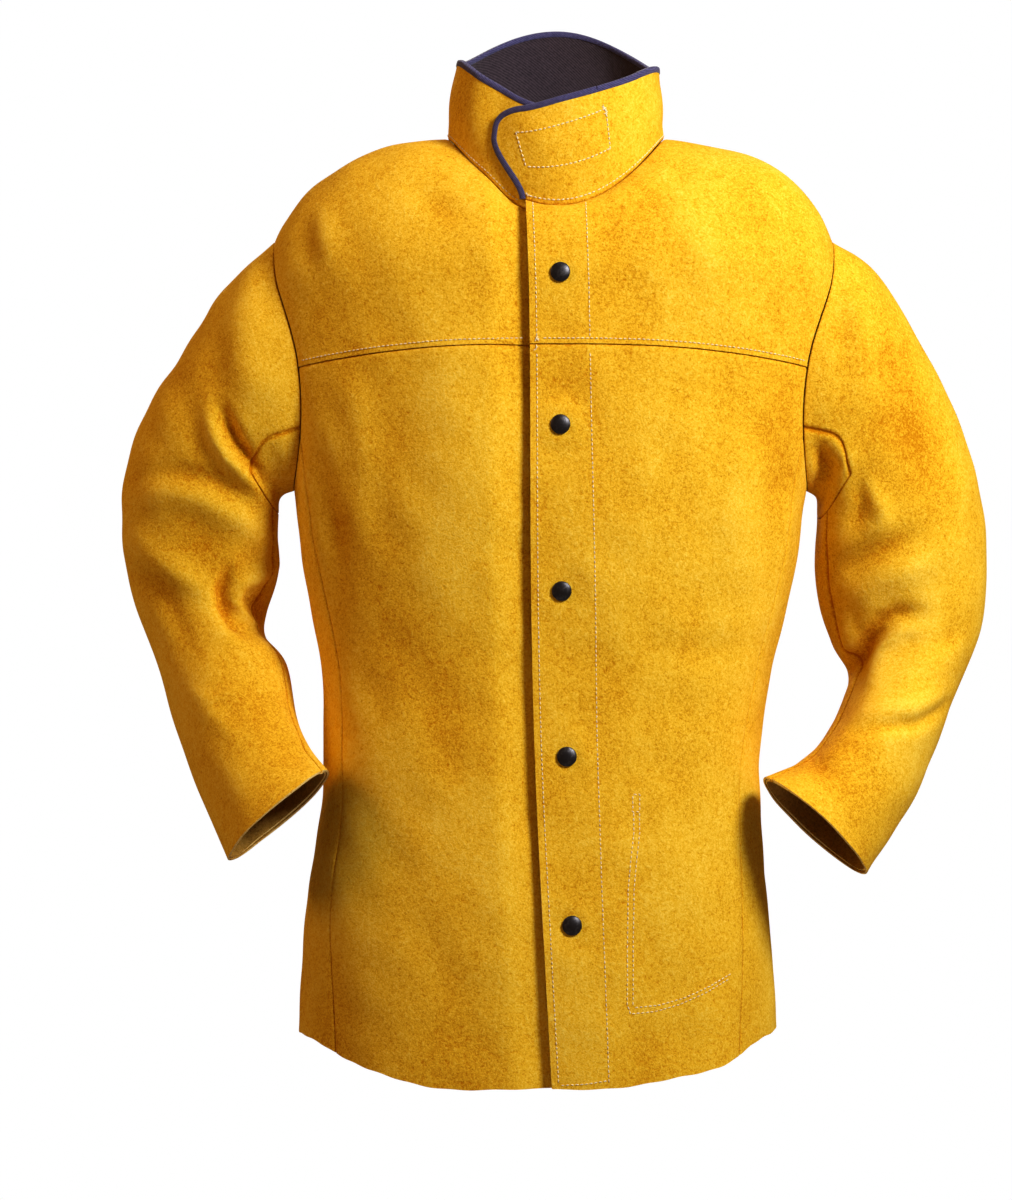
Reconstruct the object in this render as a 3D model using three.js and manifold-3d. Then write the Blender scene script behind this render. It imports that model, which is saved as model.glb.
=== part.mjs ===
// Leather welding jacket, shaped as it is worn with both hands on the hips.
// Millimetres. +Z is up, the front faces -Y and +X is the wearer's left.
// The origin is on the middle line of the neck, level with the side neck points.
//
// The body of the jacket is one smooth surface. Each sewn panel is a stretch of that surface with the
// thickness of the leather, cut back by half a seam gap where it meets its neighbour.
// Two numbers name a point of the body surface:
//   turn  the angle round the body: 0 at the front, 90 degrees at the left side, 180 at the back
//   rise  the height up the side wall, and past WALL_TOP the way over the shoulder to the neck seam
import * as THREE from "three";
import { mergeVertices } from "three/addons/utils/BufferGeometryUtils.js";
import Module from "manifold-3d";

const wasm = await Module();
wasm.setup();

// ---- Driving dimensions ---------------------------------------------------------------------------

const LEATHER = 1.8; // split cowhide
const FACING = 1.6; // the strip sewn behind a front edge or a cuff
const LINING = 1.2; // collar lining and pocket cloth
const LAYER_GAP = 0.3; // clearance between two layers that lie on each other
const FACING_GAP = 0.5; // the same where both layers are wide and curved
const CURVE_GAP = 1.5; // the same between a flat disc and the hollow side of a cuff
const SEAM_GAP = 0.5; // clearance between two pieces sewn edge to edge
const SLEEVE_GAP = 2.2; // the sleeve stands off the armhole edge by its seam allowance

// Sections of the body from the hem up: height, right edge, left edge, front, back.
const BODY = [
  [-770, -206, 181, -126, 118],
  [-640, -204, 176, -122, 113],
  [-545, -189, 170, -116, 108],
  [-500, -187, 169, -114, 106],
  [-430, -187, 180, -111, 104],
  [-340, -204, 200, -114, 110],
  [-283, -211, 208, -116, 116],
  [-180, -226, 226, -113, 122],
  [-120, -234, 236, -110, 121],
];
const BODY_ROUNDNESS = 0.83; // 1 is an ellipse, smaller is boxier
const WALL_TOP = -120; // where the wall starts to turn in over the shoulder
const SHOULDER_RUN = 150; // rise from the wall top to the neck seam
const NECK_RISE = WALL_TOP + SHOULDER_RUN;
const SHOULDER_BULGE = { side: 2.05, front: 1.75, back: 1.85 };

const NECK = { x: 3, y: -8, wide: 88, deep: 80, front: -60, side: 3, back: 26 };
const COLLAR_TOP = { x: 5, y: -2, wide: 83, deep: 88, front: 15, side: 64, back: 103 };
const HEM = { front: -758, side: -722, back: -744 };
const YOKE_SEAM = { front: -171, side: -190, back: -150 };

// Armhole: an oval on the body surface, centred on the side.
const ARMHOLE = { halfTurn: 27, rise: -186, halfRise: 97 };
const SIDE_SEAM = { hem: 54, top: 68 }; // turn of the front side seam at the hem and at the armhole
const SHOULDER_SEAM = 97; // turn of the shoulder seam at the neck

// Lines down the front: height and how far to the wearer's left they lie.
const FRONT_EDGE = [[-770, -1], [-632, -8.6], [-499, -15], [-366, -18], [-171, -19], [30, -22]];
const FACING_EDGE = [[-770, 45], [-499, 36], [-373, 34], [-176, 30], [30, 27]];
const UNDERLAY_EDGE = 24; // how far the right front reaches under the left one
const FOLD = { topZ: -45, topX: 37, hemZ: -757, hemX: 54 }; // the line that the left front opens on

// Snaps of the front, from the top down.
const SNAPS = [[5, -109], [5, -235], [6, -366], [10, -496], [14, -628]];
const SNAP = { cap: 7.8, dome: 2.8, ring: 5.5, ball: 2.6, flange: 5, shank: 2, hole: 2.4 };
const UNDERLAY_SINK = 8.2; // how deep the right front lies under the left one at the snaps
const COLLAR_SINK = 7; // the same for the collar ends

// Sleeves, from the shoulder to the cuff: outer edge (x, z), inner edge (x, z), y, half depth, and
// how far the back of the ring hangs below its middle. x counts away from the middle of the body.
const RIGHT_SLEEVE = [
  [261, -110, 222, -290, 8, 68, 0],
  [301, -163, 224, -302, 14, 67, -4],
  [334, -218, 225, -320, 21, 65, -6],
  [354, -275, 225, -346, 27, 63, -4],
  [354, -330, 236, -382, 30, 60, 4],
  [342, -376, 237, -404, 28, 57, 12],
  [322, -426, 219, -428, 12, 56, 18],
  [302, -487, 208, -468, -18, 55, 20],
  [281, -539, 195, -495, -48, 53, 16],
  [260, -580, 180, -511, -76, 52, 12],
];
const LEFT_SLEEVE = [
  [263, -102, 219, -290, 8, 68, 0],
  [300, -155, 220, -306, 14, 67, -4],
  [331, -214, 219, -332, 21, 66, -6],
  [353, -278, 221, -367, 27, 65, -4],
  [360, -340, 232, -408, 30, 62, 4],
  [354, -398, 246, -432, 26, 58, 12],
  [335, -447, 240, -455, 8, 56, 18],
  [311, -495, 219, -484, -18, 56, 20],
  [285, -545, 193, -505, -44, 56, 16],
  [252, -592, 168, -516, -70, 56, 12],
];
const HEAD_END = 2; // rings where the sleeve head, the upper sleeve and the elbow end
const UPPER_END = 4;
const ELBOW_END = 6;
const CUFF_RING = RIGHT_SLEEVE.length;
const GUSSET = { from: 120, to: 240 }; // degrees round the armhole covered by the underarm gusset

const POCKET = { front: 60, back: 53, top: -540, bottom: -694, swell: 15 };
const BINDING = { wide: 5, high: 4.6 };

const BODY_ROWS = 9; // rows of each panel from the hem to the armhole
const CHEST_ROWS = 3; // from there to the yoke seam
const YOKE_ROWS = 4; // from the yoke seam to the top of the armhole
const SHOULDER_ROWS = 5; // from there to the neck
const SLEEVE_SIDES = 18;
const ROUND_SIDES = 12;

// ---- Colours --------------------------------------------------------------------------------------

const SUEDE = { color: 0xd99a12, roughness: 0.95, metalness: 0 };
const SUEDE_INSIDE = { color: 0xc48d2a, roughness: 0.95, metalness: 0 };
const NAVY = { color: 0x3b3c58, roughness: 0.85, metalness: 0 };
const DARK_CLOTH = { color: 0x2a2430, roughness: 0.95, metalness: 0 };
const GUNMETAL = { color: 0x33353b, roughness: 0.35, metalness: 0.9 };
const STEEL = { color: 0x9a9a9e, roughness: 0.35, metalness: 0.9 };
const HOOK_TAPE = { color: 0x23222a, roughness: 0.9, metalness: 0 };

// ---- Small helpers --------------------------------------------------------------------------------

const { cos, sin, sqrt, abs, min, max, sign, PI, hypot } = Math;
const radians = (degrees) => (degrees * PI) / 180;
const mix = (a, b, t) => a + (b - a) * t;
const clamp01 = (t) => min(1, max(0, t));
const smooth = (t) => clamp01(t) ** 2 * (3 - 2 * clamp01(t));
const vector = (x, y, z) => new THREE.Vector3(x, y, z);

// A smooth curve through rows of [place, value, value, ...]: the value in one column at a place.
// It ends level, so the side wall is upright where the shoulder starts.
function along(table, column, place) {
  const last = table.length - 1;
  let i = 0;
  while (i < last - 1 && place > table[i + 1][0]) i += 1;
  const slope = (k) => {
    if (k === last) return 0;
    const a = table[max(0, k - 1)];
    const b = table[k + 1];
    return (b[column] - a[column]) / (b[0] - a[0]);
  };
  const [from, to] = [table[i], table[i + 1]];
  const step = to[0] - from[0];
  const t = clamp01((place - from[0]) / step);
  return (
    (2 * t ** 3 - 3 * t ** 2 + 1) * from[column] +
    (t ** 3 - 2 * t ** 2 + t) * step * slope(i) +
    (3 * t ** 2 - 2 * t ** 3) * to[column] +
    (t ** 3 - t ** 2) * step * slope(i + 1)
  );
}

// Front, side and back values of a ring, eased from one to the next by the turn.
function round(ring, turn) {
  const facing = cos(turn);
  return mix(ring.side, facing > 0 ? ring.front : ring.back, facing * facing);
}

// ---- The body surface -----------------------------------------------------------------------------

const boxy = (t) => sign(t) * abs(t) ** BODY_ROUNDNESS;

function wallPoint(turn, height) {
  const [right, left, front, back] = [1, 2, 3, 4].map((column) => along(BODY, column, height));
  const middle = (right + left) / 2;
  const depth = cos(turn) > 0 ? front : -back;
  return vector(middle + ((left - right) / 2) * boxy(sin(turn)), depth * boxy(cos(turn)), height);
}

function neckPoint(turn) {
  return vector(NECK.x + NECK.wide * sin(turn), NECK.y - NECK.deep * cos(turn), round(NECK, turn));
}

function bodyPoint(turn, rise) {
  const wall = wallPoint(turn, min(rise, WALL_TOP));
  if (rise <= WALL_TOP) return wall;
  const over = clamp01((rise - WALL_TOP) / SHOULDER_RUN) * (PI / 2);
  const power = 2 / round(SHOULDER_BULGE, turn);
  const out = max(0, cos(over)) ** power;
  const up = sin(over) ** power;
  const neck = neckPoint(turn);
  return vector(mix(neck.x, wall.x, out), mix(neck.y, wall.y, out), mix(WALL_TOP, neck.z, up));
}

// The outward normal of a surface given by two numbers, from points a little way along each.
function normalOf(surface, turn, rise, highest) {
  const [dTurn, dRise] = [0.01, 1.5];
  const top = min(rise + dRise, highest);
  const across = surface(turn + dTurn, rise).sub(surface(turn - dTurn, rise));
  const upward = surface(turn, top).sub(surface(turn, top - 2 * dRise));
  return across.cross(upward).normalize();
}

// The body surface moved in by a depth.
function bodyLayer(turn, rise, depth) {
  const inward = normalOf(bodyPoint, turn, rise, NECK_RISE - 0.5);
  return bodyPoint(turn, rise).addScaledVector(inward, -depth);
}

// The turn at which the front of the body lies a given way to the wearer's left.
function turnAtX(x, rise) {
  let [low, high] = [-PI / 2, PI / 2];
  for (let i = 0; i < 40; i += 1) {
    const middle = (low + high) / 2;
    if (bodyPoint(middle, rise).x < x) low = middle;
    else high = middle;
  }
  return (low + high) / 2;
}

// ---- Seam lines, each the turn of the line at a rise ------------------------------------------------

const frontLine = (table) => (rise) => turnAtX(along(table, 1, min(rise, 30)), rise);
const foldX = (z) => mix(FOLD.topX, FOLD.hemX, (FOLD.topZ - z) / (FOLD.topZ - FOLD.hemZ));
const foldLine = (rise) => turnAtX(foldX(min(rise, FOLD.topZ)), rise);
const ARMHOLE_TOP = ARMHOLE.rise + ARMHOLE.halfRise;

// Half of the armhole's width, in degrees of turn, at a rise.
function armholeReach(rise) {
  const t = (rise - ARMHOLE.rise) / ARMHOLE.halfRise;
  return ARMHOLE.halfTurn * sqrt(max(0, 1 - t * t));
}

// The height of the armhole's lower edge at a turn from the middle of the side.
function armholeFloor(offMiddle) {
  const t = min(1, abs(offMiddle) / ARMHOLE.halfTurn);
  return ARMHOLE.rise - ARMHOLE.halfRise * sqrt(1 - t * t);
}
const SIDE_TOP = armholeFloor(90 - SIDE_SEAM.top); // where the side seam meets the armhole

// The edge of the front: the side seam, then the armhole, then the shoulder seam, for the left side.
function frontSideLine(rise) {
  if (rise <= SIDE_TOP) {
    const t = (rise - HEM.front) / (SIDE_TOP - HEM.front);
    return radians(mix(SIDE_SEAM.hem, SIDE_SEAM.top, clamp01(t)));
  }
  if (rise < ARMHOLE_TOP) return radians(90 - armholeReach(rise));
  return radians(mix(90, SHOULDER_SEAM, (rise - ARMHOLE_TOP) / (NECK_RISE - ARMHOLE_TOP)));
}

// The edge of the back mirrors that of the front, but shares the shoulder seam with it.
function backSideLine(rise) {
  if (rise >= ARMHOLE_TOP) return frontSideLine(rise);
  return PI - frontSideLine(rise);
}

const hemRise = (turn) => round(HEM, turn);
const yokeRise = (turn) => round(YOKE_SEAM, turn);

// Rows of a lower panel, from the hem to the yoke seam.
function panelRise(row, turn) {
  if (row <= BODY_ROWS) return mix(hemRise(turn), SIDE_TOP, row / BODY_ROWS);
  return mix(SIDE_TOP, yokeRise(turn) - SEAM_GAP / 2, (row - BODY_ROWS) / CHEST_ROWS);
}

// Rows of a yoke, from the yoke seam over the shoulder to the neck, closer at the armhole's top.
function yokeRiseAt(row, turn) {
  const bottom = yokeRise(turn) + SEAM_GAP / 2;
  if (row <= YOKE_ROWS) return mix(bottom, ARMHOLE_TOP, sin((row / YOKE_ROWS) * (PI / 2)));
  return mix(ARMHOLE_TOP, NECK_RISE, (row - YOKE_ROWS) / SHOULDER_ROWS);
}

// ---- Solids ---------------------------------------------------------------------------------------

// A closed mesh from its corners and faces, turned to face outwards.
function closed(corners, faces) {
  const triangles = faces.flatMap(([a, b, c, d]) => (d === undefined ? [[a, b, c]] : [[a, b, c], [a, c, d]]));
  const volume = triangles.reduce(
    (sum, [a, b, c]) => sum + corners[a].dot(corners[b].clone().cross(corners[c])),
    0,
  );
  const outward = volume < 0 ? triangles.map(([a, b, c]) => [a, c, b]) : triangles;
  const geometry = new THREE.BufferGeometry();
  const positions = corners.flatMap((corner) => corner.toArray());
  geometry.setAttribute("position", new THREE.Float32BufferAttribute(positions, 3));
  geometry.setIndex(outward.flat());
  return geometry;
}

// A curved sheet with a thickness. layer(row, column, depth) gives a point of the sheet's outer face
// at depth 0 and of its inner face at the full depth. A ring of columns closes on itself.
function sheet(rows, columns, thickness, layer, ring = false) {
  const wide = ring ? columns : columns + 1;
  const corners = [];
  for (const depth of [0, thickness])
    for (let row = 0; row <= rows; row += 1)
      for (let column = 0; column < wide; column += 1) corners.push(layer(row, column, depth));
  const inner = (rows + 1) * wide;
  const at = (row, column, side) => side * inner + row * wide + (column % wide);
  const faces = [];
  for (let row = 0; row < rows; row += 1)
    for (let column = 0; column < columns; column += 1) {
      const next = column + 1;
      faces.push([at(row, column, 0), at(row, next, 0), at(row + 1, next, 0), at(row + 1, column, 0)]);
      faces.push([at(row, column, 1), at(row + 1, column, 1), at(row + 1, next, 1), at(row, next, 1)]);
    }
  for (let column = 0; column < columns; column += 1) {
    const next = column + 1;
    faces.push([at(0, column, 0), at(0, column, 1), at(0, next, 1), at(0, next, 0)]);
    faces.push([at(rows, column, 0), at(rows, next, 0), at(rows, next, 1), at(rows, column, 1)]);
  }
  for (let row = 0; row < rows && !ring; row += 1) {
    faces.push([at(row, 0, 0), at(row + 1, 0, 0), at(row + 1, 0, 1), at(row, 0, 1)]);
    const end = columns;
    faces.push([at(row, end, 0), at(row, end, 1), at(row + 1, end, 1), at(row + 1, end, 0)]);
  }
  return closed(corners, faces);
}

// A panel of the body between two seam lines. sink(x) is how deep its outer face lies.
function panel({ rows, columns, riseAt, from, to, thickness = LEATHER, sink = () => 0 }) {
  const edge = (line, row, inset) => {
    let turn = line(riseAt(row, line(SIDE_TOP)));
    for (let i = 0; i < 5; i += 1) turn = line(riseAt(row, turn));
    const radius = hypot(...bodyPoint(turn, riseAt(row, turn)).toArray().slice(0, 2));
    return turn + inset / radius;
  };
  const layer = (row, column, depth) => {
    const a = edge(from, row, SEAM_GAP / 2);
    const b = edge(to, row, -SEAM_GAP / 2);
    const turn = mix(a, b, column / columns);
    const rise = riseAt(row, turn);
    return bodyLayer(turn, rise, sink(bodyPoint(turn, rise).x, rise) + depth);
  };
  return sheet(rows, columns, thickness, layer);
}

function asManifold(geometry) {
  const bare = new THREE.BufferGeometry();
  bare.setAttribute("position", geometry.getAttribute("position").clone());
  if (geometry.index) bare.setIndex(geometry.index.clone());
  const merged = mergeVertices(bare, 1e-4);
  return new wasm.Manifold(
    new wasm.Mesh({
      numProp: 3,
      vertProperties: new Float32Array(merged.getAttribute("position").array),
      triVerts: new Uint32Array(merged.index.array),
    }),
  );
}

// The geometry with other closed geometries cut out of it.
function cut(geometry, tools) {
  const left = tools.reduce((solid, tool) => solid.subtract(asManifold(tool)), asManifold(geometry));
  const mesh = left.getMesh();
  const result = new THREE.BufferGeometry();
  const positions = [];
  for (let i = 0; i < mesh.numVert; i += 1)
    positions.push(...mesh.vertProperties.slice(i * mesh.numProp, i * mesh.numProp + 3));
  result.setAttribute("position", new THREE.Float32BufferAttribute(positions, 3));
  result.setIndex(Array.from(mesh.triVerts));
  return result;
}

const jacket = new THREE.Group();

function add(name, geometry, finish) {
  const mesh = new THREE.Mesh(geometry, new THREE.MeshStandardMaterial(finish));
  mesh.name = name;
  jacket.add(mesh);
  return mesh;
}

// ---- Front, side and back panels ------------------------------------------------------------------

const frontEdge = frontLine(FRONT_EDGE);
const facingEdge = frontLine(FACING_EDGE);
const underlayEdge = (rise) => turnAtX(UNDERLAY_EDGE, rise);
const mirrored = (line) => (rise) => -line(rise);
const backRound = (line) => (rise) => 2 * PI - line(rise);

// The right front dips in before the left front's edge, to lie flat behind it.
function underlaySink(x, rise) {
  const edge = along(FRONT_EDGE, 1, min(rise, 30));
  return UNDERLAY_SINK * smooth((x - edge + 34) / 30);
}

// A hole tool through every layer at a snap, along the surface's normal.
function snapFrame([x, z]) {
  const turn = turnAtX(x, z);
  const normal = normalOf(bodyPoint, turn, z, NECK_RISE);
  return { at: bodyPoint(turn, z), normal };
}

function alongNormal(geometry, { at, normal }, depth = 0) {
  const upright = new THREE.Quaternion().setFromUnitVectors(vector(0, 1, 0), normal);
  const place = at.clone().addScaledVector(normal, -depth);
  return geometry.applyQuaternion(upright).translate(place.x, place.y, place.z);
}

const frames = SNAPS.map(snapFrame);
const holes = () =>
  frames.map((frame) => alongNormal(new THREE.CylinderGeometry(SNAP.hole, SNAP.hole, 40, ROUND_SIDES), frame));

const lower = { rows: BODY_ROWS + CHEST_ROWS, riseAt: panelRise };
const upper = { rows: YOKE_ROWS + SHOULDER_ROWS, riseAt: yokeRiseAt };
const rightFront = { columns: 9, from: mirrored(frontSideLine), to: underlayEdge, sink: underlaySink };
const placket = { columns: 4, from: frontEdge, to: foldLine };
const leftFront = { columns: 7, from: foldLine, to: frontSideLine };
const back = { columns: 12, from: backSideLine, to: backRound(backSideLine) };

add("right_front_panel", cut(panel({ ...lower, ...rightFront }), holes()), SUEDE);
add("right_front_yoke", cut(panel({ ...upper, ...rightFront }), holes()), SUEDE);
add("left_front_placket", cut(panel({ ...lower, ...placket }), holes()), SUEDE);
add("left_yoke_placket", cut(panel({ ...upper, ...placket }), holes()), SUEDE);
add("left_front_panel", panel({ ...lower, ...leftFront }), SUEDE);
add("left_front_yoke", panel({ ...upper, ...leftFront }), SUEDE);
add("back_panel", panel({ ...lower, ...back }), SUEDE);
add("back_yoke", panel({ ...upper, ...back }), SUEDE);

// Side panels run from the hem up to the armhole's lower edge.
function sideRise(row, turn) {
  const reach = 90 - SIDE_SEAM.top;
  const offMiddle = max(-reach, min(reach, (turn * 180) / PI - 90));
  return mix(hemRise(turn), armholeFloor(offMiddle), row / BODY_ROWS);
}
const side = {
  rows: BODY_ROWS,
  columns: 5,
  riseAt: sideRise,
  from: (rise) => frontSideLine(min(rise, SIDE_TOP)),
  to: (rise) => PI - frontSideLine(min(rise, SIDE_TOP)),
};
add("left_side_panel", panel(side), SUEDE);
add(
  "right_side_panel",
  panel({
    ...side,
    riseAt: (row, turn) => sideRise(row, -turn),
    from: mirrored(side.to),
    to: mirrored(side.from),
  }),
  SUEDE,
);

// Facings: strips behind the two front edges, from near the hem to near the neck.
// They share the rows of the panels in front of them, so the layers stay parallel.
function facingRise(row, turn) {
  const rise = row <= lower.rows ? panelRise(row, turn) : yokeRiseAt(row - lower.rows, turn);
  return max(hemRise(turn) + 4, min(NECK_RISE - 3, rise));
}
const behindLeft = LEATHER + FACING_GAP;
const behindRight = UNDERLAY_SINK + LEATHER + FACING_GAP;
const facing = { rows: lower.rows + upper.rows, columns: 3, riseAt: facingRise, thickness: FACING };
const leftFacing = { ...facing, from: frontEdge, to: facingEdge, sink: () => behindLeft };
const rightFacing = {
  ...facing,
  from: (rise) => turnAtX(along(FRONT_EDGE, 1, min(rise, 30)) + 3, rise),
  to: underlayEdge,
  sink: () => behindRight,
};
add("placket_facing", cut(panel(leftFacing), holes()), SUEDE_INSIDE);
add("right_front_facing", cut(panel(rightFacing), holes()), SUEDE_INSIDE);

// Inside pocket: a patch behind the left front, open at its top and swollen in its middle.
{
  const [rows, columns] = [5, 6];
  const backTurn = radians(POCKET.back);
  const layer = (row, column, depth) => {
    const rise = mix(POCKET.bottom, POCKET.top, row / rows);
    const turn = mix(turnAtX(POCKET.front, rise), backTurn, column / columns);
    const belly = sin((column / columns) * PI) * sin((row / rows) * (PI / 2));
    return bodyLayer(turn, rise, behindLeft + POCKET.swell * belly + depth);
  };
  add("inside_pocket", sheet(rows, columns, LINING, layer), DARK_CLOTH);
}

// ---- Snaps ----------------------------------------------------------------------------------------

const lathe = (points) =>
  new THREE.LatheGeometry(points.map(([r, y]) => new THREE.Vector2(r, y)), ROUND_SIDES);

// Profiles run from the axis round the outside and back to the axis; y points out of the jacket.
function capProfile(shankDepth) {
  const { cap, dome, shank } = SNAP;
  return [
    [0, -shankDepth],
    [shank, -shankDepth],
    [shank, LAYER_GAP],
    [cap * 0.93, LAYER_GAP],
    [cap, LAYER_GAP + dome * 0.3],
    [cap * 0.82, LAYER_GAP + dome * 0.75],
    [cap * 0.45, LAYER_GAP + dome * 0.96],
    [0, LAYER_GAP + dome],
  ];
}
const socketProfile = [
  [0, -1.1],
  [SNAP.ball + 0.4, -1.1],
  [SNAP.ball + 0.4, -2.5],
  [SNAP.ring - 0.4, -2.5],
  [SNAP.ring, -1.9],
  [SNAP.ring * 0.8, 0],
  [0, 0],
];
const studShank = LEATHER + FACING_GAP + FACING;
const studProfile = [
  [0, -studShank],
  [SNAP.shank, -studShank],
  [SNAP.shank, 0.4],
  [SNAP.flange, 0.4],
  [SNAP.flange, 1.1],
  [SNAP.ball * 0.8, 1.2],
  [SNAP.ball, 1.9],
  [SNAP.ball * 0.7, 2.5],
  [0, 2.7],
];
const postProfile = [
  [0, -1.2],
  [SNAP.flange * 0.8, -1.2],
  [SNAP.flange, -0.7],
  [SNAP.flange, 0],
  [0, 0],
];

// The cap's shank goes through the leather and the facing; the socket is closed on its end.
const capShank = behindLeft + FACING;
const socketDepth = capShank + LAYER_GAP;
const postDepth = behindRight + FACING + LAYER_GAP;
frames.forEach((frame, i) => {
  const number = i + 1;
  add(`snap_cap_${number}`, alongNormal(lathe(capProfile(capShank)), frame), GUNMETAL);
  add(`snap_socket_${number}`, alongNormal(lathe(socketProfile), frame, socketDepth), STEEL);
  add(`snap_stud_${number}`, alongNormal(lathe(studProfile), frame, UNDERLAY_SINK), STEEL);
  add(`snap_post_${number}`, alongNormal(lathe(postProfile), frame, postDepth), STEEL);
});

// ---- Collar ---------------------------------------------------------------------------------------

const COLLAR_FOLD = 23; // turn of the line that the collar's loose end peels back from
const COLLAR_UNDER_END = 375; // the right end lies under the left one
const COLLAR_ROWS = 4;

// A point of the collar: up is 0 at the neck seam and 1 at the top edge, depth is inwards.
function collarPoint(turn, up, depth = 0) {
  const foot = neckPoint(turn);
  const { x, y, wide, deep } = COLLAR_TOP;
  const rim = vector(x + wide * sin(turn), y - deep * cos(turn), round(COLLAR_TOP, turn));
  const outward = vector(sin(turn) / NECK.wide, -cos(turn) / NECK.deep, 0).normalize();
  const bulge = 2.5 * sin(clamp01(up) * PI);
  foot.z += SEAM_GAP + 0.6;
  return foot.lerp(rim, up).addScaledVector(outward, bulge - depth);
}

// Under the loose end the collar lies deeper.
const collarSink = (turn) => COLLAR_SINK * smooth(((turn * 180) / PI - 306) / 20);

// The loose end's outline: it slants out from the placket edge and has a round upper corner.
function looseEnd(up) {
  const slant = mix(-17, -33, smooth(up / 0.62));
  const corner = max(0, up - 0.72) / 0.28;
  return radians(slant + 13 * (1 - sqrt(1 - min(1, corner) ** 2)));
}

const looseRows = [0, 0.22, 0.45, 0.68, 0.82, 0.92, 0.98, 1];

function mainCollar(name, finish, thickness, from, to, lowest, highest, rows, columns) {
  const start = radians(COLLAR_FOLD + 0.35);
  const end = radians(COLLAR_UNDER_END);
  const layer = (row, column, depth) => {
    const turn = mix(start, end, column / columns);
    const up = mix(lowest, highest, row / rows);
    return collarPoint(turn, up, collarSink(turn) + from + (to - from) * (depth / thickness));
  };
  add(name, sheet(rows, columns, thickness, layer), finish);
}

function looseCollar(name, finish, thickness, from, lowest, highest, inset) {
  const end = radians(COLLAR_FOLD - 0.35);
  const columns = 6;
  const layer = (row, column, depth) => {
    const up = mix(lowest, highest, looseRows[row]);
    const turn = mix(looseEnd(looseRows[row]) + inset, end, column / columns);
    return collarPoint(turn, up, from + depth);
  };
  add(name, sheet(looseRows.length - 1, columns, thickness, layer), finish);
}

const LINING_INSET = LEATHER + LAYER_GAP;
const collarColumns = 28;
mainCollar("collar_outer", SUEDE, LEATHER, 0, LEATHER, 0, 1, COLLAR_ROWS, collarColumns);
mainCollar(
  "collar_lining", DARK_CLOTH, LINING, LINING_INSET, LINING_INSET + LINING, 0.02, 1, COLLAR_ROWS, collarColumns,
);
looseCollar("collar_flap_outer", SUEDE, LEATHER, 0, 0, 1, 0);
looseCollar("collar_flap_lining", DARK_CLOTH, LINING, LINING_INSET, 0.03, 0.99, radians(1));

// Bindings: a folded strip that sits on the top edge of the leather and the lining.
{
  const depth = (BINDING.wide - LEATHER - LINING - LAYER_GAP) / -2;
  const height = 74; // of the collar, near enough to turn millimetres into the collar's own measure
  mainCollar(
    "collar_binding", NAVY, BINDING.wide, depth, depth + BINDING.wide,
    1 + LAYER_GAP / height, 1 + (LAYER_GAP + BINDING.high) / height, 1, collarColumns,
  );
}

// The loose end's binding follows its top edge and comes down round its corner to the placket.
{
  const edge = [];
  for (const turn of [COLLAR_FOLD - 0.6, 12, 2, -8, -16]) edge.push([radians(turn), 1]);
  for (const up of [0.985, 0.94, 0.86, 0.7, 0.48, 0.25, 0.03]) edge.push([looseEnd(up), up]);
  const depth = (BINDING.wide - LEATHER - LINING - LAYER_GAP) / -2;
  const points = edge.map(([turn, up]) => collarPoint(turn, up, 0));
  const layer = (row, column, inward) => {
    const before = points[max(0, column - 1)];
    const after = points[min(points.length - 1, column + 1)];
    const [turn] = edge[column];
    const outward = vector(sin(turn) / NECK.wide, -cos(turn) / NECK.deep, 0).normalize();
    const away = after.clone().sub(before).cross(outward).normalize();
    const start = points[column].clone().addScaledVector(outward, -(depth + inward));
    return start.addScaledVector(away, 0.9 + row * BINDING.high);
  };
  add("collar_flap_binding", sheet(1, edge.length - 1, BINDING.wide, layer), NAVY);
}

// Hook tape inside the loose end and loop tape on the collar under it.
function tape(name, from, to, depth, thickness) {
  const layer = (row, column, inward) =>
    collarPoint(radians(mix(from, to, column / 4)), mix(0.3, 0.78, row / 2), depth + inward);
  add(name, sheet(2, 4, thickness, layer), HOOK_TAPE);
}
const TAPE = 0.9;
tape("collar_hook_tape", -20, 10, LINING_INSET + LINING + 2 * LAYER_GAP, TAPE);
tape("collar_loop_tape", -24, 10, COLLAR_SINK - 2 * LAYER_GAP - TAPE, TAPE);

// Hanger loop: a leather strap bowed out from the inside of the nape.
{
  const outline = new THREE.Shape();
  const [half, sag, strap] = [26, 15, 2];
  outline.moveTo(-half, 0);
  outline.quadraticCurveTo(0, 2 * sag, half, 0);
  outline.lineTo(half - strap * 1.6, 0);
  outline.quadraticCurveTo(0, 2 * (sag - strap), -half + strap * 1.6, 0);
  outline.closePath();
  const strip = new THREE.ExtrudeGeometry(outline, { depth: 9, bevelEnabled: false, curveSegments: 8 });
  const nape = collarPoint(PI, 0.16, LINING_INSET + LINING);
  const loop = add("hanger_loop", strip, SUEDE_INSIDE);
  loop.rotation.z = PI;
  loop.position.set(nape.x, nape.y - 4.5, nape.z);
}

// ---- Sleeves --------------------------------------------------------------------------------------

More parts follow.
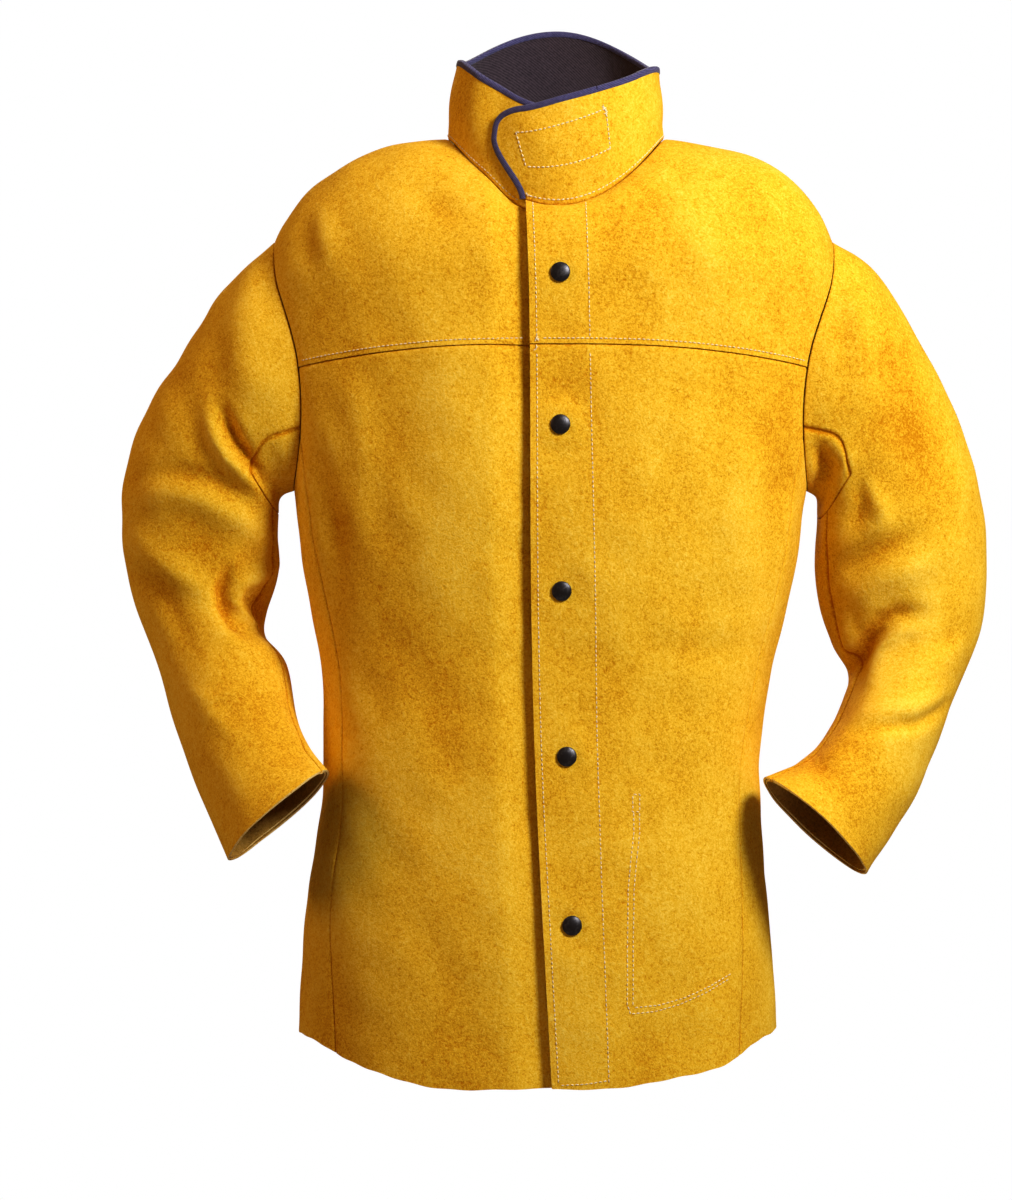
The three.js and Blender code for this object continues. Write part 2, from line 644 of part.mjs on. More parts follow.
// A point of a sleeve: ring counts from 0 at the armhole to the cuff, angle goes round it with 0 at
// the top or outer edge, 90 degrees at the back and 180 at the underarm.
function sleevePoints(sideSign, table) {
  const centres = table.map(([outX, outZ, inX, inZ, y]) => vector((outX + inX) / 2, y, (outZ + inZ) / 2));
  const rings = table.map(([outX, outZ, inX, inZ, , halfDepth, hang], k) => {
    const outward = vector((outX - inX) / 2, 0, (outZ - inZ) / 2);
    const backward = vector(0, halfDepth, -hang);
    return (angle) =>
      centres[k].clone().addScaledVector(outward, cos(angle)).addScaledVector(backward, sin(angle));
  });
  const armhole = (angle) => {
    const turn = radians(90 + ARMHOLE.halfTurn * sin(angle));
    const point = bodyPoint(sideSign * turn, ARMHOLE.rise + ARMHOLE.halfRise * cos(angle));
    return vector(point.x * sideSign + SLEEVE_GAP, point.y, point.z);
  };
  const all = [armhole, ...rings];
  return (ring, angle) => {
    const k = min(all.length - 2, Math.floor(ring));
    const t = ring - k;
    const [a, b] = [all[k](angle), all[k + 1](angle)];
    const before = k > 0 ? all[k - 1](angle) : a.clone().multiplyScalar(2).sub(b);
    const after = k + 2 < all.length ? all[k + 2](angle) : b.clone().multiplyScalar(2).sub(a);
    const [t2, t3] = [t * t, t * t * t];
    const point = a.clone().multiplyScalar(2 * t3 - 3 * t2 + 1);
    point.addScaledVector(b, 3 * t2 - 2 * t3);
    point.addScaledVector(b.clone().sub(before), (t3 - 2 * t2 + t) / 2);
    point.addScaledVector(after.clone().sub(a), (t3 - t2) / 2);
    point.x *= sideSign;
    return point;
  };
}

function sleeve(sideName, sideSign, table) {
  const at = sleevePoints(sideSign, table);
  // The sleeve's face moved in by a depth, square to the surface.
  const layerAt = (ring, angle, depth) => {
    const near = min(ring + 0.05, CUFF_RING);
    const lengthwise = at(near, angle).sub(at(near - 0.1 < 0 ? 0 : near - 0.1, angle));
    const crosswise = at(ring, angle + 0.03).sub(at(ring, angle - 0.03));
    const outward = crosswise.cross(lengthwise).normalize().multiplyScalar(-sideSign);
    return at(ring, angle).addScaledVector(outward, -depth);
  };
  const seam = 0.006; // of a ring's spacing, half a seam gap
  const piece = (name, from, to, rows, finish, depth = 0, thickness = LEATHER, tools = []) => {
    const layer = (row, column, inward) => {
      const ring = mix(from, to, row / rows);
      return layerAt(ring, (column / SLEEVE_SIDES) * 2 * PI, depth + inward);
    };
    add(`${sideName}_${name}`, cut(sheet(rows, SLEEVE_SIDES, thickness, layer, true), tools), finish);
  };
  const patch = (name, fromAngle, toAngle, columns) => {
    const rows = 3;
    const layer = (row, column, inward) => {
      const angle = radians(mix(fromAngle + 0.25, toAngle - 0.25, column / columns));
      return layerAt(mix(0, HEAD_END - seam, row / rows), angle, inward);
    };
    add(`${sideName}_${name}`, sheet(rows, columns, LEATHER, layer), SUEDE);
  };
  // Columns of both patches fall on those of the sleeve they are sewn to.
  const step = 360 / SLEEVE_SIDES;
  patch("sleeve_head", GUSSET.to - 360, GUSSET.from, (GUSSET.from - GUSSET.to + 360) / step);
  patch("underarm_gusset", GUSSET.from, GUSSET.to, (GUSSET.to - GUSSET.from) / step);
  piece("upper_sleeve", HEAD_END + seam, UPPER_END - seam, 2, SUEDE);
  piece("elbow", UPPER_END + seam, ELBOW_END - seam, 4, SUEDE);
  // A snap at the cuff, on the outer side towards the back: its cap outside, its post inside.
  const [ring, angle] = [CUFF_RING - 0.5, radians(2 * step)];
  const surface = layerAt(ring, angle, 0);
  const normal = surface.clone().sub(layerAt(ring, angle, 1)).normalize();
  const frame = { at: surface, normal };
  const hole = alongNormal(new THREE.CylinderGeometry(SNAP.hole, SNAP.hole, 30, ROUND_SIDES), frame);
  piece("forearm", ELBOW_END + seam, CUFF_RING, 8, SUEDE, 0, LEATHER, [hole]);
  piece("cuff_facing", CUFF_RING - 1, CUFF_RING - 0.02, 2, SUEDE_INSIDE, behindLeft, FACING, [hole]);
  add(`${sideName}_cuff_snap_cap`, alongNormal(lathe(capProfile(capShank)), frame, -0.3), GUNMETAL);
  const postAt = capShank + CURVE_GAP; // the facing is hollow here, so the flat post stands off it
  add(`${sideName}_cuff_snap_post`, alongNormal(lathe(postProfile), frame, postAt), STEEL);
}
sleeve("right", -1, RIGHT_SLEEVE);
sleeve("left", 1, LEFT_SLEEVE);

export default jacket;
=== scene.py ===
# %% [markdown]
# # A leather welding jacket
# The jacket is cut from split cowhide, a thick leather with a raised nap on both faces. It is worn
# with both hands on the hips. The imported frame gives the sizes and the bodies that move. This lesson
# makes each sewn piece of leather as one thick sheet, and then adds folds, thread and metal.

# %% Load the frame
import math

import bmesh
import bpy
import numpy as np
from mathutils import Matrix, Vector


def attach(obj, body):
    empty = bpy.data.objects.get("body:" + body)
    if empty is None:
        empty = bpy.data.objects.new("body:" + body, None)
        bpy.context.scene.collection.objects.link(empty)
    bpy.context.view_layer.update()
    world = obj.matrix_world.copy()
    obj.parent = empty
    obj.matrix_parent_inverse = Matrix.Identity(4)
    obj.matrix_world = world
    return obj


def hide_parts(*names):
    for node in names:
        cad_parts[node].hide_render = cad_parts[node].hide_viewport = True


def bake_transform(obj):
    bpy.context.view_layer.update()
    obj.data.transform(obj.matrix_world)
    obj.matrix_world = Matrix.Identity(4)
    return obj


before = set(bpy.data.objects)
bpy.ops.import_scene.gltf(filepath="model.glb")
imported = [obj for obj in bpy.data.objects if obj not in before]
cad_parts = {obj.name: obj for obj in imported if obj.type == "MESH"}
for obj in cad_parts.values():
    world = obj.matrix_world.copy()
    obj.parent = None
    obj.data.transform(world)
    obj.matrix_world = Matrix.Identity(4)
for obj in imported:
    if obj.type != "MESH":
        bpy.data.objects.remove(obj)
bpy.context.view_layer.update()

# %% [markdown]
# ## Camera
# A garment in a catalogue is shown straight from the front, from far enough away that the sleeves
# are not drawn larger than the chest. A long lens at 2.7 m does that. It stands as high as the waist.

# %% Camera
scene = bpy.context.scene
camera_data = bpy.data.cameras.new("camera")
camera_data.lens = 98.8
camera_data.clip_end = 60
camera = bpy.data.objects.new("camera", camera_data)
camera.location = (-0.0377, -2.7, -0.373)
camera.rotation_euler = (math.radians(90), 0, 0)
scene.collection.objects.link(camera)
scene.camera = camera
scene.view_settings.view_transform = "Standard"
scene.view_settings.gamma = 0.82
print("camera at", tuple(round(v, 3) for v in camera.location))

# %% [markdown]
# ## Light and floor
# One near lamp on the wearer's left models the folds. A wide, warm one on the other side keeps the
# shaded half readable. Shade in yellow leather looks orange, because light bounces between the
# folds and takes their colour, so the light all round is orange too. The floor fades out into
# white, so that no edge shows. Materials and the sky need nodes, so the first cell holds a helper
# that makes a node and joins it in one line.


# %% Nodes, made and joined in one line each
def node(tree, kind, inputs=None, **settings):
    made = tree.nodes.new("ShaderNode" + kind)
    for key, value in settings.items():
        setattr(made, key, value)
    for key, value in (inputs or {}).items():
        if isinstance(value, bpy.types.NodeSocket):
            tree.links.new(value, made.inputs[key])
        else:
            made.inputs[key].default_value = value
    return made


def calculate(tree, operation, a, b, clamp=False):
    return node(tree, "Math", {0: a, 1: b}, operation=operation, use_clamp=clamp).outputs[0]


# %% Lights
def softbox(name, place, aim, width, power, tint=(1, 1, 1)):
    data = bpy.data.lights.new(name, "AREA")
    data.shape = "DISK"
    data.size = width
    data.energy = power
    data.color = tint
    lamp = bpy.data.objects.new(name, data)
    lamp.location = place
    lamp.visible_camera = False
    lamp.rotation_euler = (Vector(aim) - Vector(place)).to_track_quat("-Z", "Y").to_euler()
    scene.collection.objects.link(lamp)
    return lamp


CHEST = (0, 0, -0.35)
softbox("key", (1.1, -1.25, 0.65), CHEST, 0.6, 40, (0.98, 1, 1))
softbox("fill", (-2.4, -0.7, 0.8), CHEST, 1.0, 18, (1, 0.64, 0.33))
softbox("top", (0.2, 0.3, 2.4), CHEST, 1.6, 13)
softbox("rear", (-0.4, 3.0, 0.9), CHEST, 1.6, 38, (1, 0.95, 0.85))

world = bpy.data.worlds.new("studio")
world.use_nodes = True
scene.world = world
tree = world.node_tree
ray = node(tree, "LightPath")
AROUND, SEEN = (0.19, 0.108, 0.06, 1), (1, 1, 1, 1)
level = node(tree, "Mix", {0: ray.outputs["Is Camera Ray"], 6: AROUND, 7: SEEN}, data_type="RGBA").outputs[2]
tree.links.new(level, tree.nodes["Background"].inputs["Color"])

# %% Floor
FLOOR_HEIGHT, FADE_FROM, FADE_TO, FLOOR_GLOW = -1.62, 1.2, 4.2, 0.62
bm = bmesh.new()
bmesh.ops.create_circle(bm, cap_ends=True, segments=96, radius=4.5)
bmesh.ops.translate(bm, vec=(0, 0, FLOOR_HEIGHT), verts=bm.verts)
floor_mesh = bpy.data.meshes.new("floor")
bm.to_mesh(floor_mesh)
floor = bpy.data.objects.new("floor", floor_mesh)
scene.collection.objects.link(floor)
paper = bpy.data.materials.new("paper")
paper.use_nodes = True
tree = paper.node_tree
place = node(tree, "TexCoord").outputs["Object"]
flat = node(tree, "VectorMath", {0: place, 1: (1, 1, 0)}, operation="MULTIPLY").outputs[0]
away = node(tree, "VectorMath", {0: flat}, operation="LENGTH").outputs["Value"]
fade = node(tree, "MapRange", {0: away, 1: FADE_FROM, 2: FADE_TO}, interpolation_type="SMOOTHSTEP").outputs[0]
shader = tree.nodes["Principled BSDF"]
shader.inputs["Base Color"].default_value = (0.4, 0.4, 0.4, 1)
shader.inputs["Roughness"].default_value = 0.9
shader.inputs["Emission Color"].default_value = (1, 1, 0.99, 1)
seen = node(tree, "LightPath").outputs["Is Camera Ray"]
tree.links.new(calculate(tree, "MULTIPLY", seen, FLOOR_GLOW), shader.inputs["Emission Strength"])
clear = node(tree, "BsdfTransparent").outputs[0]
both = node(tree, "MixShader", {0: fade, 1: shader.outputs[0], 2: clear}).outputs[0]
tree.links.new(both, tree.nodes["Material Output"].inputs["Surface"])
floor_mesh.materials.append(paper)
print("floor at", FLOOR_HEIGHT, "m")

# %% [markdown]
# ## The shape of the body
# A pattern cutter would start from flat leather and sew it round a dress form; a cloth simulation
# could do the same. Here the finished shape is already known, so the leather is laid straight on it.
# The frame's panels lie on one smooth surface, and the leather has to lie on the same one. A point
# of it has two numbers: the turn round the body, from 0 at the front over 90 degrees at the left side,
# and the rise, which goes up the wall and then over the shoulder to the neck. The tables repeat
# the frame's sections, in millimetres. Whole arrays of points are worked out at once.

# %% Sections and seam lines
MM = 0.001
LEATHER, FACING, LINING = 1.8, 1.6, 1.2
LAYER_GAP, FACING_GAP = 0.3, 0.5
BODY = [
    [-770, -206, 181, -126, 118], [-640, -204, 176, -122, 113], [-545, -189, 170, -116, 108],
    [-500, -187, 169, -114, 106], [-430, -187, 180, -111, 104], [-340, -204, 200, -114, 110],
    [-283, -211, 208, -116, 116], [-180, -226, 226, -113, 122], [-120, -234, 236, -110, 121],
]
BODY_ROUNDNESS = 0.83
WALL_TOP, SHOULDER_RUN = -120, 150
NECK_RISE = WALL_TOP + SHOULDER_RUN
SHOULDER_BULGE = {"side": 2.05, "front": 1.75, "back": 1.85}
NECK = {"x": 3, "y": -8, "wide": 88, "deep": 80, "front": -60, "side": 3, "back": 26}
COLLAR_TOP = {"x": 5, "y": -2, "wide": 83, "deep": 88, "front": 15, "side": 64, "back": 103}
HEM = {"front": -758, "side": -722, "back": -744}
YOKE_SEAM = {"front": -171, "side": -190, "back": -150}
ARMHOLE_HALF, ARMHOLE_MIDDLE, ARMHOLE_HALF_RISE = 27, -186, 97
ARMHOLE_TOP = ARMHOLE_MIDDLE + ARMHOLE_HALF_RISE
SIDE_SEAM_HEM, SIDE_SEAM_TOP, SHOULDER_SEAM = 54, 68, 97
FRONT_EDGE = [[-770, -1], [-632, -8.6], [-499, -15], [-366, -18], [-171, -19], [30, -22]]
FACING_EDGE = [[-770, 45], [-499, 36], [-373, 34], [-176, 30], [30, 27]]
UNDERLAY_EDGE, UNDERLAY_SINK, COLLAR_SINK = 24, 8.2, 7
SNAPS = [(5, -109), (5, -235), (6, -366), (10, -496), (14, -628)]


# %% The body surface
def smooth(t):
    t = np.clip(t, 0, 1)
    return t * t * (3 - 2 * t)


def mix(a, b, t):
    return a + (b - a) * t


def along(rows, column, where):
    rows = np.array(rows, float)
    x, y = rows[:, 0], rows[:, column]
    slope = np.zeros(len(x))
    for k in range(len(x) - 1):
        before = max(0, k - 1)
        slope[k] = (y[k + 1] - y[before]) / (x[k + 1] - x[before])
    i = np.clip(np.searchsorted(x[1:-1], where), 0, len(x) - 2)
    step = x[i + 1] - x[i]
    t = np.clip((where - x[i]) / step, 0, 1)
    return (
        (2 * t**3 - 3 * t**2 + 1) * y[i]
        + (t**3 - 2 * t**2 + t) * step * slope[i]
        + (3 * t**2 - 2 * t**3) * y[i + 1]
        + (t**3 - t**2) * step * slope[i + 1]
    )


def around(ring, turn):
    facing = np.cos(turn)
    return mix(ring["side"], np.where(facing > 0, ring["front"], ring["back"]), facing**2)


def neck_point(turn):
    x = NECK["x"] + NECK["wide"] * np.sin(turn)
    y = NECK["y"] - NECK["deep"] * np.cos(turn)
    return np.stack([x, y, around(NECK, turn)], -1)


def body_point(turn, rise):
    turn, rise = np.broadcast_arrays(np.asarray(turn, float), np.asarray(rise, float))
    height = np.minimum(rise, WALL_TOP)
    right, left, front, back = (along(BODY, column, height) for column in (1, 2, 3, 4))
    boxy_sin = np.sign(np.sin(turn)) * np.abs(np.sin(turn)) ** BODY_ROUNDNESS
    boxy_cos = np.sign(np.cos(turn)) * np.abs(np.cos(turn)) ** BODY_ROUNDNESS
    depth = np.where(np.cos(turn) > 0, front, -back)
    wall = np.stack([(right + left) / 2 + (left - right) / 2 * boxy_sin, depth * boxy_cos, height], -1)
    over = np.clip((rise - WALL_TOP) / SHOULDER_RUN, 0, 1) * (math.pi / 2)
    power = 2 / around(SHOULDER_BULGE, turn)
    out, up = np.maximum(0, np.cos(over)) ** power, np.sin(over) ** power
    neck = neck_point(turn)
    above = np.stack(
        [mix(neck[..., 0], wall[..., 0], out), mix(neck[..., 1], wall[..., 1], out), mix(WALL_TOP, neck[..., 2], up)],
        -1,
    )
    return np.where((rise > WALL_TOP)[..., None], above, wall)


def unit(vectors):
    return vectors / np.maximum(np.linalg.norm(vectors, axis=-1, keepdims=True), 1e-9)


def body_normal(turn, rise):
    turn, rise = np.broadcast_arrays(np.asarray(turn, float), np.asarray(rise, float))
    top = np.minimum(rise + 1.5, NECK_RISE - 0.5)
    across = body_point(turn + 0.01, rise) - body_point(turn - 0.01, rise)
    return unit(np.cross(across, body_point(turn, top) - body_point(turn, top - 3)))


def turn_at_x(x, rise):
    x, rise = np.broadcast_arrays(np.asarray(x, float), np.asarray(rise, float))
    low, high = np.full(x.shape, -math.pi / 2), np.full(x.shape, math.pi / 2)
    for _ in range(32):
        middle = (low + high) / 2
        less = body_point(middle, rise)[..., 0] < x
        low, high = np.where(less, middle, low), np.where(less, high, middle)
    return (low + high) / 2


snap_turns = [float(turn_at_x(x, z)) for x, z in SNAPS]
snap_places = np.array([body_point(t, z) for t, (_, z) in zip(snap_turns, SNAPS)])
print("snaps at", np.round(snap_places[:, 0]).tolist(), "mm from the middle line")


# %% [markdown]
# A seam is a line on that surface: for each rise it gives the turn, or for each turn the rise. The
# armhole is an oval in those two numbers. The hem is cut by hand, so it wanders a little.


# %% Seam lines
def front_line(rows, shift=0.0):
    return lambda rise: turn_at_x(along(rows, 1, np.minimum(rise, 30)) + shift, rise)


def armhole_reach(rise):
    t = (rise - ARMHOLE_MIDDLE) / ARMHOLE_HALF_RISE
    return ARMHOLE_HALF * np.sqrt(np.maximum(0, 1 - t * t))


def armhole_floor(off_middle):
    t = np.minimum(1, np.abs(off_middle) / ARMHOLE_HALF)
    return ARMHOLE_MIDDLE - ARMHOLE_HALF_RISE * np.sqrt(1 - t * t)


SIDE_TOP = float(armhole_floor(90 - SIDE_SEAM_TOP))


def front_side_line(rise):
    low = mix(SIDE_SEAM_HEM, SIDE_SEAM_TOP, np.clip((rise - HEM["front"]) / (SIDE_TOP - HEM["front"]), 0, 1))
    high = mix(90, SHOULDER_SEAM, (rise - ARMHOLE_TOP) / (NECK_RISE - ARMHOLE_TOP))
    degrees = np.where(rise <= SIDE_TOP, low, np.where(rise < ARMHOLE_TOP, 90 - armhole_reach(rise), high))
    return np.radians(degrees)


def back_side_line(rise):
    return np.where(rise >= ARMHOLE_TOP, front_side_line(rise), math.pi - front_side_line(rise))


def hem_rise(turn):
    uneven = 1.8 * np.sin(turn * 5 + 1) + 0.9 * np.sin(turn * 11 + 2) + 0.3 * np.sin(turn * 37)
    return around(HEM, turn) + uneven


def yoke_rise(turn):
    return around(YOKE_SEAM, turn)


print("side seam meets the armhole at", round(SIDE_TOP, 1))

# %% [markdown]
# ## Folds and waves
# Worn leather is never smooth. It swells and sinks a little everywhere, and it creases where the
# arms bend. The small swells are a sum of plane waves with fixed random directions. Each crease is
# a line with a height and a width, and the leather near it is lifted or pressed in. A crease
# is a ridge with a shallow dip on both sides, as a fold in thick leather has.

# %% Creases, each with its height, its width and a line of (x, z) in millimetres
SLEEVE_CREASES = [
    (-7, 8, [(-270, -218), (-264, -231), (-255, -248), (-243, -260)]),
    (5, 9, [(-279, -213), (-276, -227), (-271, -244), (-261, -260), (-239, -282)]),
    (-5, 6, [(-252, -253), (-240, -268), (-229, -284)]),
    (4, 14, [(-338, -290), (-310, -286), (-285, -292), (-253, -308), (-221, -334)]),
    (-3, 10, [(-334, -273), (-301, -271), (-273, -279), (-241, -297)]),
    (-8, 6, [(-263, -350), (-268, -365), (-267, -379), (-259, -392), (-240, -404)]),
    (5, 7, [(-215, -337), (-235, -351), (-252, -360), (-260, -373), (-253, -388), (-235, -405)]),
    (-5, 10, [(-250, -371), (-240, -383), (-232, -394)]),
    (4, 13, [(-348, -317), (-318, -341), (-293, -361), (-274, -384), (-253, -409)]),
    (-4, 12, [(-342, -342), (-322, -367), (-305, -393), (-293, -417)]),
    (1.2, 5, [(-293, -446), (-273, -452), (-253, -444), (-241, -431)]),
    (2, 9, [(-288, -449), (-273, -464), (-261, -474), (-250, -486)]),
    (-2, 8, [(-208, -500), (-195, -490), (-184, -482)]),
    (-1.3, 14, [(-275, -130), (-269, -168), (-278, -206)]),
    (-7, 8, [(296, -384), (281, -384), (268, -391), (258, -407), (252, -425), (245, -443)]),
    (4, 10, [(307, -396), (285, -399), (271, -412), (263, -428), (255, -447)]),
    (3, 6, [(238, -381), (244, -405), (243, -430)]),
    (-4, 6, [(241, -476), (263, -473), (287, -473), (305, -465), (321, -456)]),
    (3, 9, [(242, -465), (265, -462), (289, -460), (317, -447)]),
    (-4, 12, [(234, -350), (257, -337), (279, -329), (301, -316)]),
    (3, 13, [(241, -375), (265, -358), (289, -349), (317, -341)]),
    (3, 8, [(255, -282), (265, -299), (268, -310), (254, -326)]),
    (-3, 7, [(245, -276), (250, -296), (241, -316)]),
    (-3, 10, [(200, -494), (211, -502), (221, -509)]),
    (-2, 9, [(309, -413), (321, -405), (334, -393)]),
    (-5, 8, [(205, -250), (215, -255), (221, -268), (213, -284)]),
    (3, 9, [(224, -244), (237, -260), (233, -286)]),
    (-2, 14, [(226, -130), (237, -179), (241, -219)]),
]
SLEEVE_BACK_CREASES = [
    (-5, 9, [(-352, -345), (-325, -352), (-296, -362), (-262, -372)]),
    (4, 10, [(-350, -362), (-322, -371), (-292, -380), (-258, -388)]),
    (-4, 9, [(-340, -392), (-312, -396), (-280, -402), (-246, -404)]),
    (3, 13, [(-318, -205), (-290, -238), (-262, -268), (-240, -300)]),
    (-3, 12, [(-330, -250), (-300, -275), (-268, -300), (-240, -326)]),
    (-2, 11, [(-285, -470), (-262, -500), (-236, -522)]),
    (-5, 9, [(356, -362), (328, -372), (298, -384), (266, -396)]),
    (4, 10, [(354, -380), (326, -392), (296, -404), (262, -414)]),
    (-4, 9, [(344, -412), (314, -420), (284, -428), (250, -434)]),
    (3, 13, [(316, -205), (290, -240), (262, -274), (238, -310)]),
    (-3, 12, [(332, -254), (302, -284), (270, -312), (240, -342)]),
    (-2, 11, [(285, -480), (262, -508), (236, -528)]),
]
BODY_CREASES = [
    (-0.9, 10, [(-200, -62), (-196, -82), (-193, -104)]),
    (1.5, 10, [(-186, -62), (-184, -82), (-182, -104)]),
    (-2, 10, [(-189, -247), (-176, -310), (-171, -373)]),
    (1.5, 12, [(-164, -200), (-152, -255), (-151, -326)]),
    (-2, 10, [(184, -255), (174, -310), (168, -373)]),
    (1.2, 14, [(156, -232), (148, -294), (145, -342)]),
    (-1.2, 14, [(68, -406), (115, -414), (159, -406)]),
    (-1.5, 12, [(-121, -37), (-97, -57), (-66, -74)]),
    (-1.5, 12, [(108, -31), (79, -57), (48, -70)]),
]
BODY_BACK_CREASES = [
    (-3, 14, [(-182, -232), (-140, -272), (-92, -330), (-60, -396)]),
    (2.5, 15, [(-168, -292), (-128, -336), (-88, -398)]),
    (-3, 14, [(186, -232), (140, -276), (96, -338), (62, -404)]),
    (2.5, 15, [(170, -296), (126, -344), (88, -404)]),
    (-2.5, 12, [(-120, -446), (-50, -462), (30, -458), (96, -442)]),
    (2, 13, [(-104, -482), (-30, -496), (52, -492), (110, -476)]),
    (-2, 18, [(-96, -560), (-102, -640), (-112, -728)]),
    (2, 20, [(-40, -570), (-44, -650), (-50, -736)]),
    (-2, 18, [(60, -560), (66, -640), (72, -730)]),
]
CREASE_GAIN = {"body": 1.7, "sleeve": 1.5}
CREASES = {
    "body": [(-1, c) for c in BODY_CREASES] + [(1, c) for c in BODY_BACK_CREASES],
    "sleeve": [(-1, c) for c in SLEEVE_CREASES] + [(1, c) for c in SLEEVE_BACK_CREASES],
}
print({part: len(lines) for part, lines in CREASES.items()}, "creases")

# %% Waves: a lift along the surface's normal
WAVE_SEED, WAVES_EACH = 11, 9
random = np.random.default_rng(WAVE_SEED)


def wave_set(shortest, longest):
    ways = unit(random.normal(size=(WAVES_EACH, 3)) * (1, 0.7, 0.6))
    lengths = random.uniform(shortest, longest, WAVES_EACH)
    return ways * (2 * math.pi / lengths)[:, None], random.uniform(0, 2 * math.pi, WAVES_EACH)


WAVES = {"swell": wave_set(95, 210), "ripple": wave_set(28, 62)}


def waves(points, swell, ripple):
    total = np.zeros(len(points))
    for name, height in (("swell", swell), ("ripple", ripple)):
        ways, phases = WAVES[name]
        total += height * np.sin(points @ ways.T + phases).sum(1) / math.sqrt(WAVES_EACH)
    return total


print({name: np.round(phases, 2).tolist() for name, (_, phases) in WAVES.items()})

# %% Creases: each looks for the nearest spot of its line
SPOT_EVERY, REACH, DIP, DIP_WIDTH, TURNED_AWAY = 3, 3.4, 0.32, 2.1, 0.4


def creases(points, normals, part):
    total = np.zeros(len(points))
    for facing, (height, width, line) in CREASES[part]:
        height = height * CREASE_GAIN[part]
        line = np.array(line, float)
        lengths = np.concatenate([[0], np.cumsum(np.linalg.norm(np.diff(line, axis=0), axis=1))])
        steps = np.linspace(0, lengths[-1], max(8, int(lengths[-1] / SPOT_EVERY)))
        spots = np.stack([np.interp(steps, lengths, line[:, k]) for k in (0, 1)], -1)
        strength = np.sin(np.linspace(0.12, math.pi - 0.12, len(steps))) ** 0.7
        low, high = spots.min(0) - REACH * width, spots.max(0) + REACH * width
        flat = points[:, [0, 2]]
        near = np.all((flat > low) & (flat < high), axis=1) & (normals[:, 1] * facing > 0)
        if not near.any():
            continue
        gap = np.linalg.norm(flat[near][:, None, :] - spots[None], axis=2)
        nearest = gap.argmin(1)
        distance = gap[np.arange(len(nearest)), nearest] / width
        shape = np.exp(-(distance**2)) - DIP * np.exp(-((distance / DIP_WIDTH) ** 2))
        total[near] += height * shape * strength[nearest] * smooth(normals[near, 1] * facing / TURNED_AWAY)
    return total


# %% [markdown]
# ## The leather on the body
# A lift must vanish where two surfaces meet: at the armhole, at the neck, and under each snap,
# which clamps its layers flat. The skin of the body is the surface with the lift added.

# %% The armhole's edge, and the skin of the body
hole_angles = np.linspace(0, 2 * math.pi, 72, endpoint=False)
hole_turns = np.radians(90 + ARMHOLE_HALF * np.sin(hole_angles))
hole_rises = ARMHOLE_MIDDLE + ARMHOLE_HALF_RISE * np.cos(hole_angles)
armhole_spots = np.concatenate([body_point(hole_turns, hole_rises), body_point(-hole_turns, hole_rises)])


def far_from(points, spots, flat_to, full_from):
    gap = np.full(len(points), 1e9)
    for spot in spots:
        gap = np.minimum(gap, np.linalg.norm(points - spot, axis=1))
    return smooth((gap - flat_to) / (full_from - flat_to))


LIGHT_LIFT, DARK_LIFT = 10, 8  # millimetres of lift that change the shade by one whole step


def shade_of(lift):
    """Painted shading: ridges are made lighter; hollows are painted darker, as shade, and more so."""
    return np.where(lift > 0, lift / LIGHT_LIFT, lift / DARK_LIFT)


FREE_OF_HOLE, FREE_OF_SNAP, FREE_OF_NECK = (1, 26), (9, 26), 22
BODY_SWELL, FLARE, FLARES, DIMPLE = (1.5, 0.4), 1.6, 9, 0.9


def body_skin(turn, rise, depth=0.0):
    turn, rise = np.broadcast_arrays(np.asarray(turn, float), np.asarray(rise, float))
    shape = turn.shape
    turn, rise = turn.ravel(), rise.ravel()
    points, normals = body_point(turn, rise), body_normal(turn, rise)
    free = far_from(points, armhole_spots, *FREE_OF_HOLE) * far_from(points, snap_places, *FREE_OF_SNAP)
    free *= smooth((NECK_RISE - rise) / FREE_OF_NECK)
    flare = FLARE * np.sin(turn * FLARES + 0.6) * smooth((-600 - points[:, 2]) / 150)
    lift = (waves(points, *BODY_SWELL) + creases(points, normals, "body") + flare) * free
    dimple = DIMPLE * (1 - far_from(points, snap_places, 6, 13)) * far_from(points, snap_places, 5, 8)
    skin = points + normals * (lift - dimple - np.broadcast_to(depth, shape).ravel())[:, None]
    return skin.reshape(*shape, 3), normals.reshape(*shape, 3), shade_of(lift).reshape(shape)


print("armhole measured at", len(armhole_spots), "spots")

# %% [markdown]
# ## Sheets of leather
# Each piece starts as a flat grid, and every corner of the grid is then laid in its place on the
# skin. What happens at an edge depends on how it is sewn. A turned seam rolls inwards and goes on
# as a seam allowance behind the jacket. A raw edge just ends. At the yoke the upper leather laps
# over the lower one, which goes on under it. An edge profile is a list of (distance from the
# seam, depth), from the seam inwards. The Solidify modifier then gives the leather its thickness.

# %% Edge profiles
SEWN = [(0.05, 2.8), (0.08, 1.1), (0.4, 0.6), (0.9, 0.26), (1.8, 0.06), (3.2, 0)]
AT_NECK = [(0, 0.7), (0.5, 0.35), (1.5, 0)]
RAW = [(0, 0)]
UNDER = [(-7, 2.1), (-1.2, 2.1), (0.1, 1.9), (0.7, 1.1), (1.4, 0.4), (2.4, 0)]
LAPPED = [(0, -0.15), (1.0, -0.3), (2.6, 0)]


def edge_steps(start, end, count):
    """Distances from both seams, shares of the way between them, and depths, column by column."""
    first, last = start[-1][0], end[-1][0]
    steps = [("start", place, depth) for place, depth in start]
    steps += [("share", k / count, 0) for k in range(1, count)]
    steps += [("end", place, depth) for place, depth in reversed(end)]
    return steps, first, last


print("a turned seam rolls in by", SEWN[0][1], "mm; the lower leather lies", UNDER[0][1], "mm deep at the yoke")


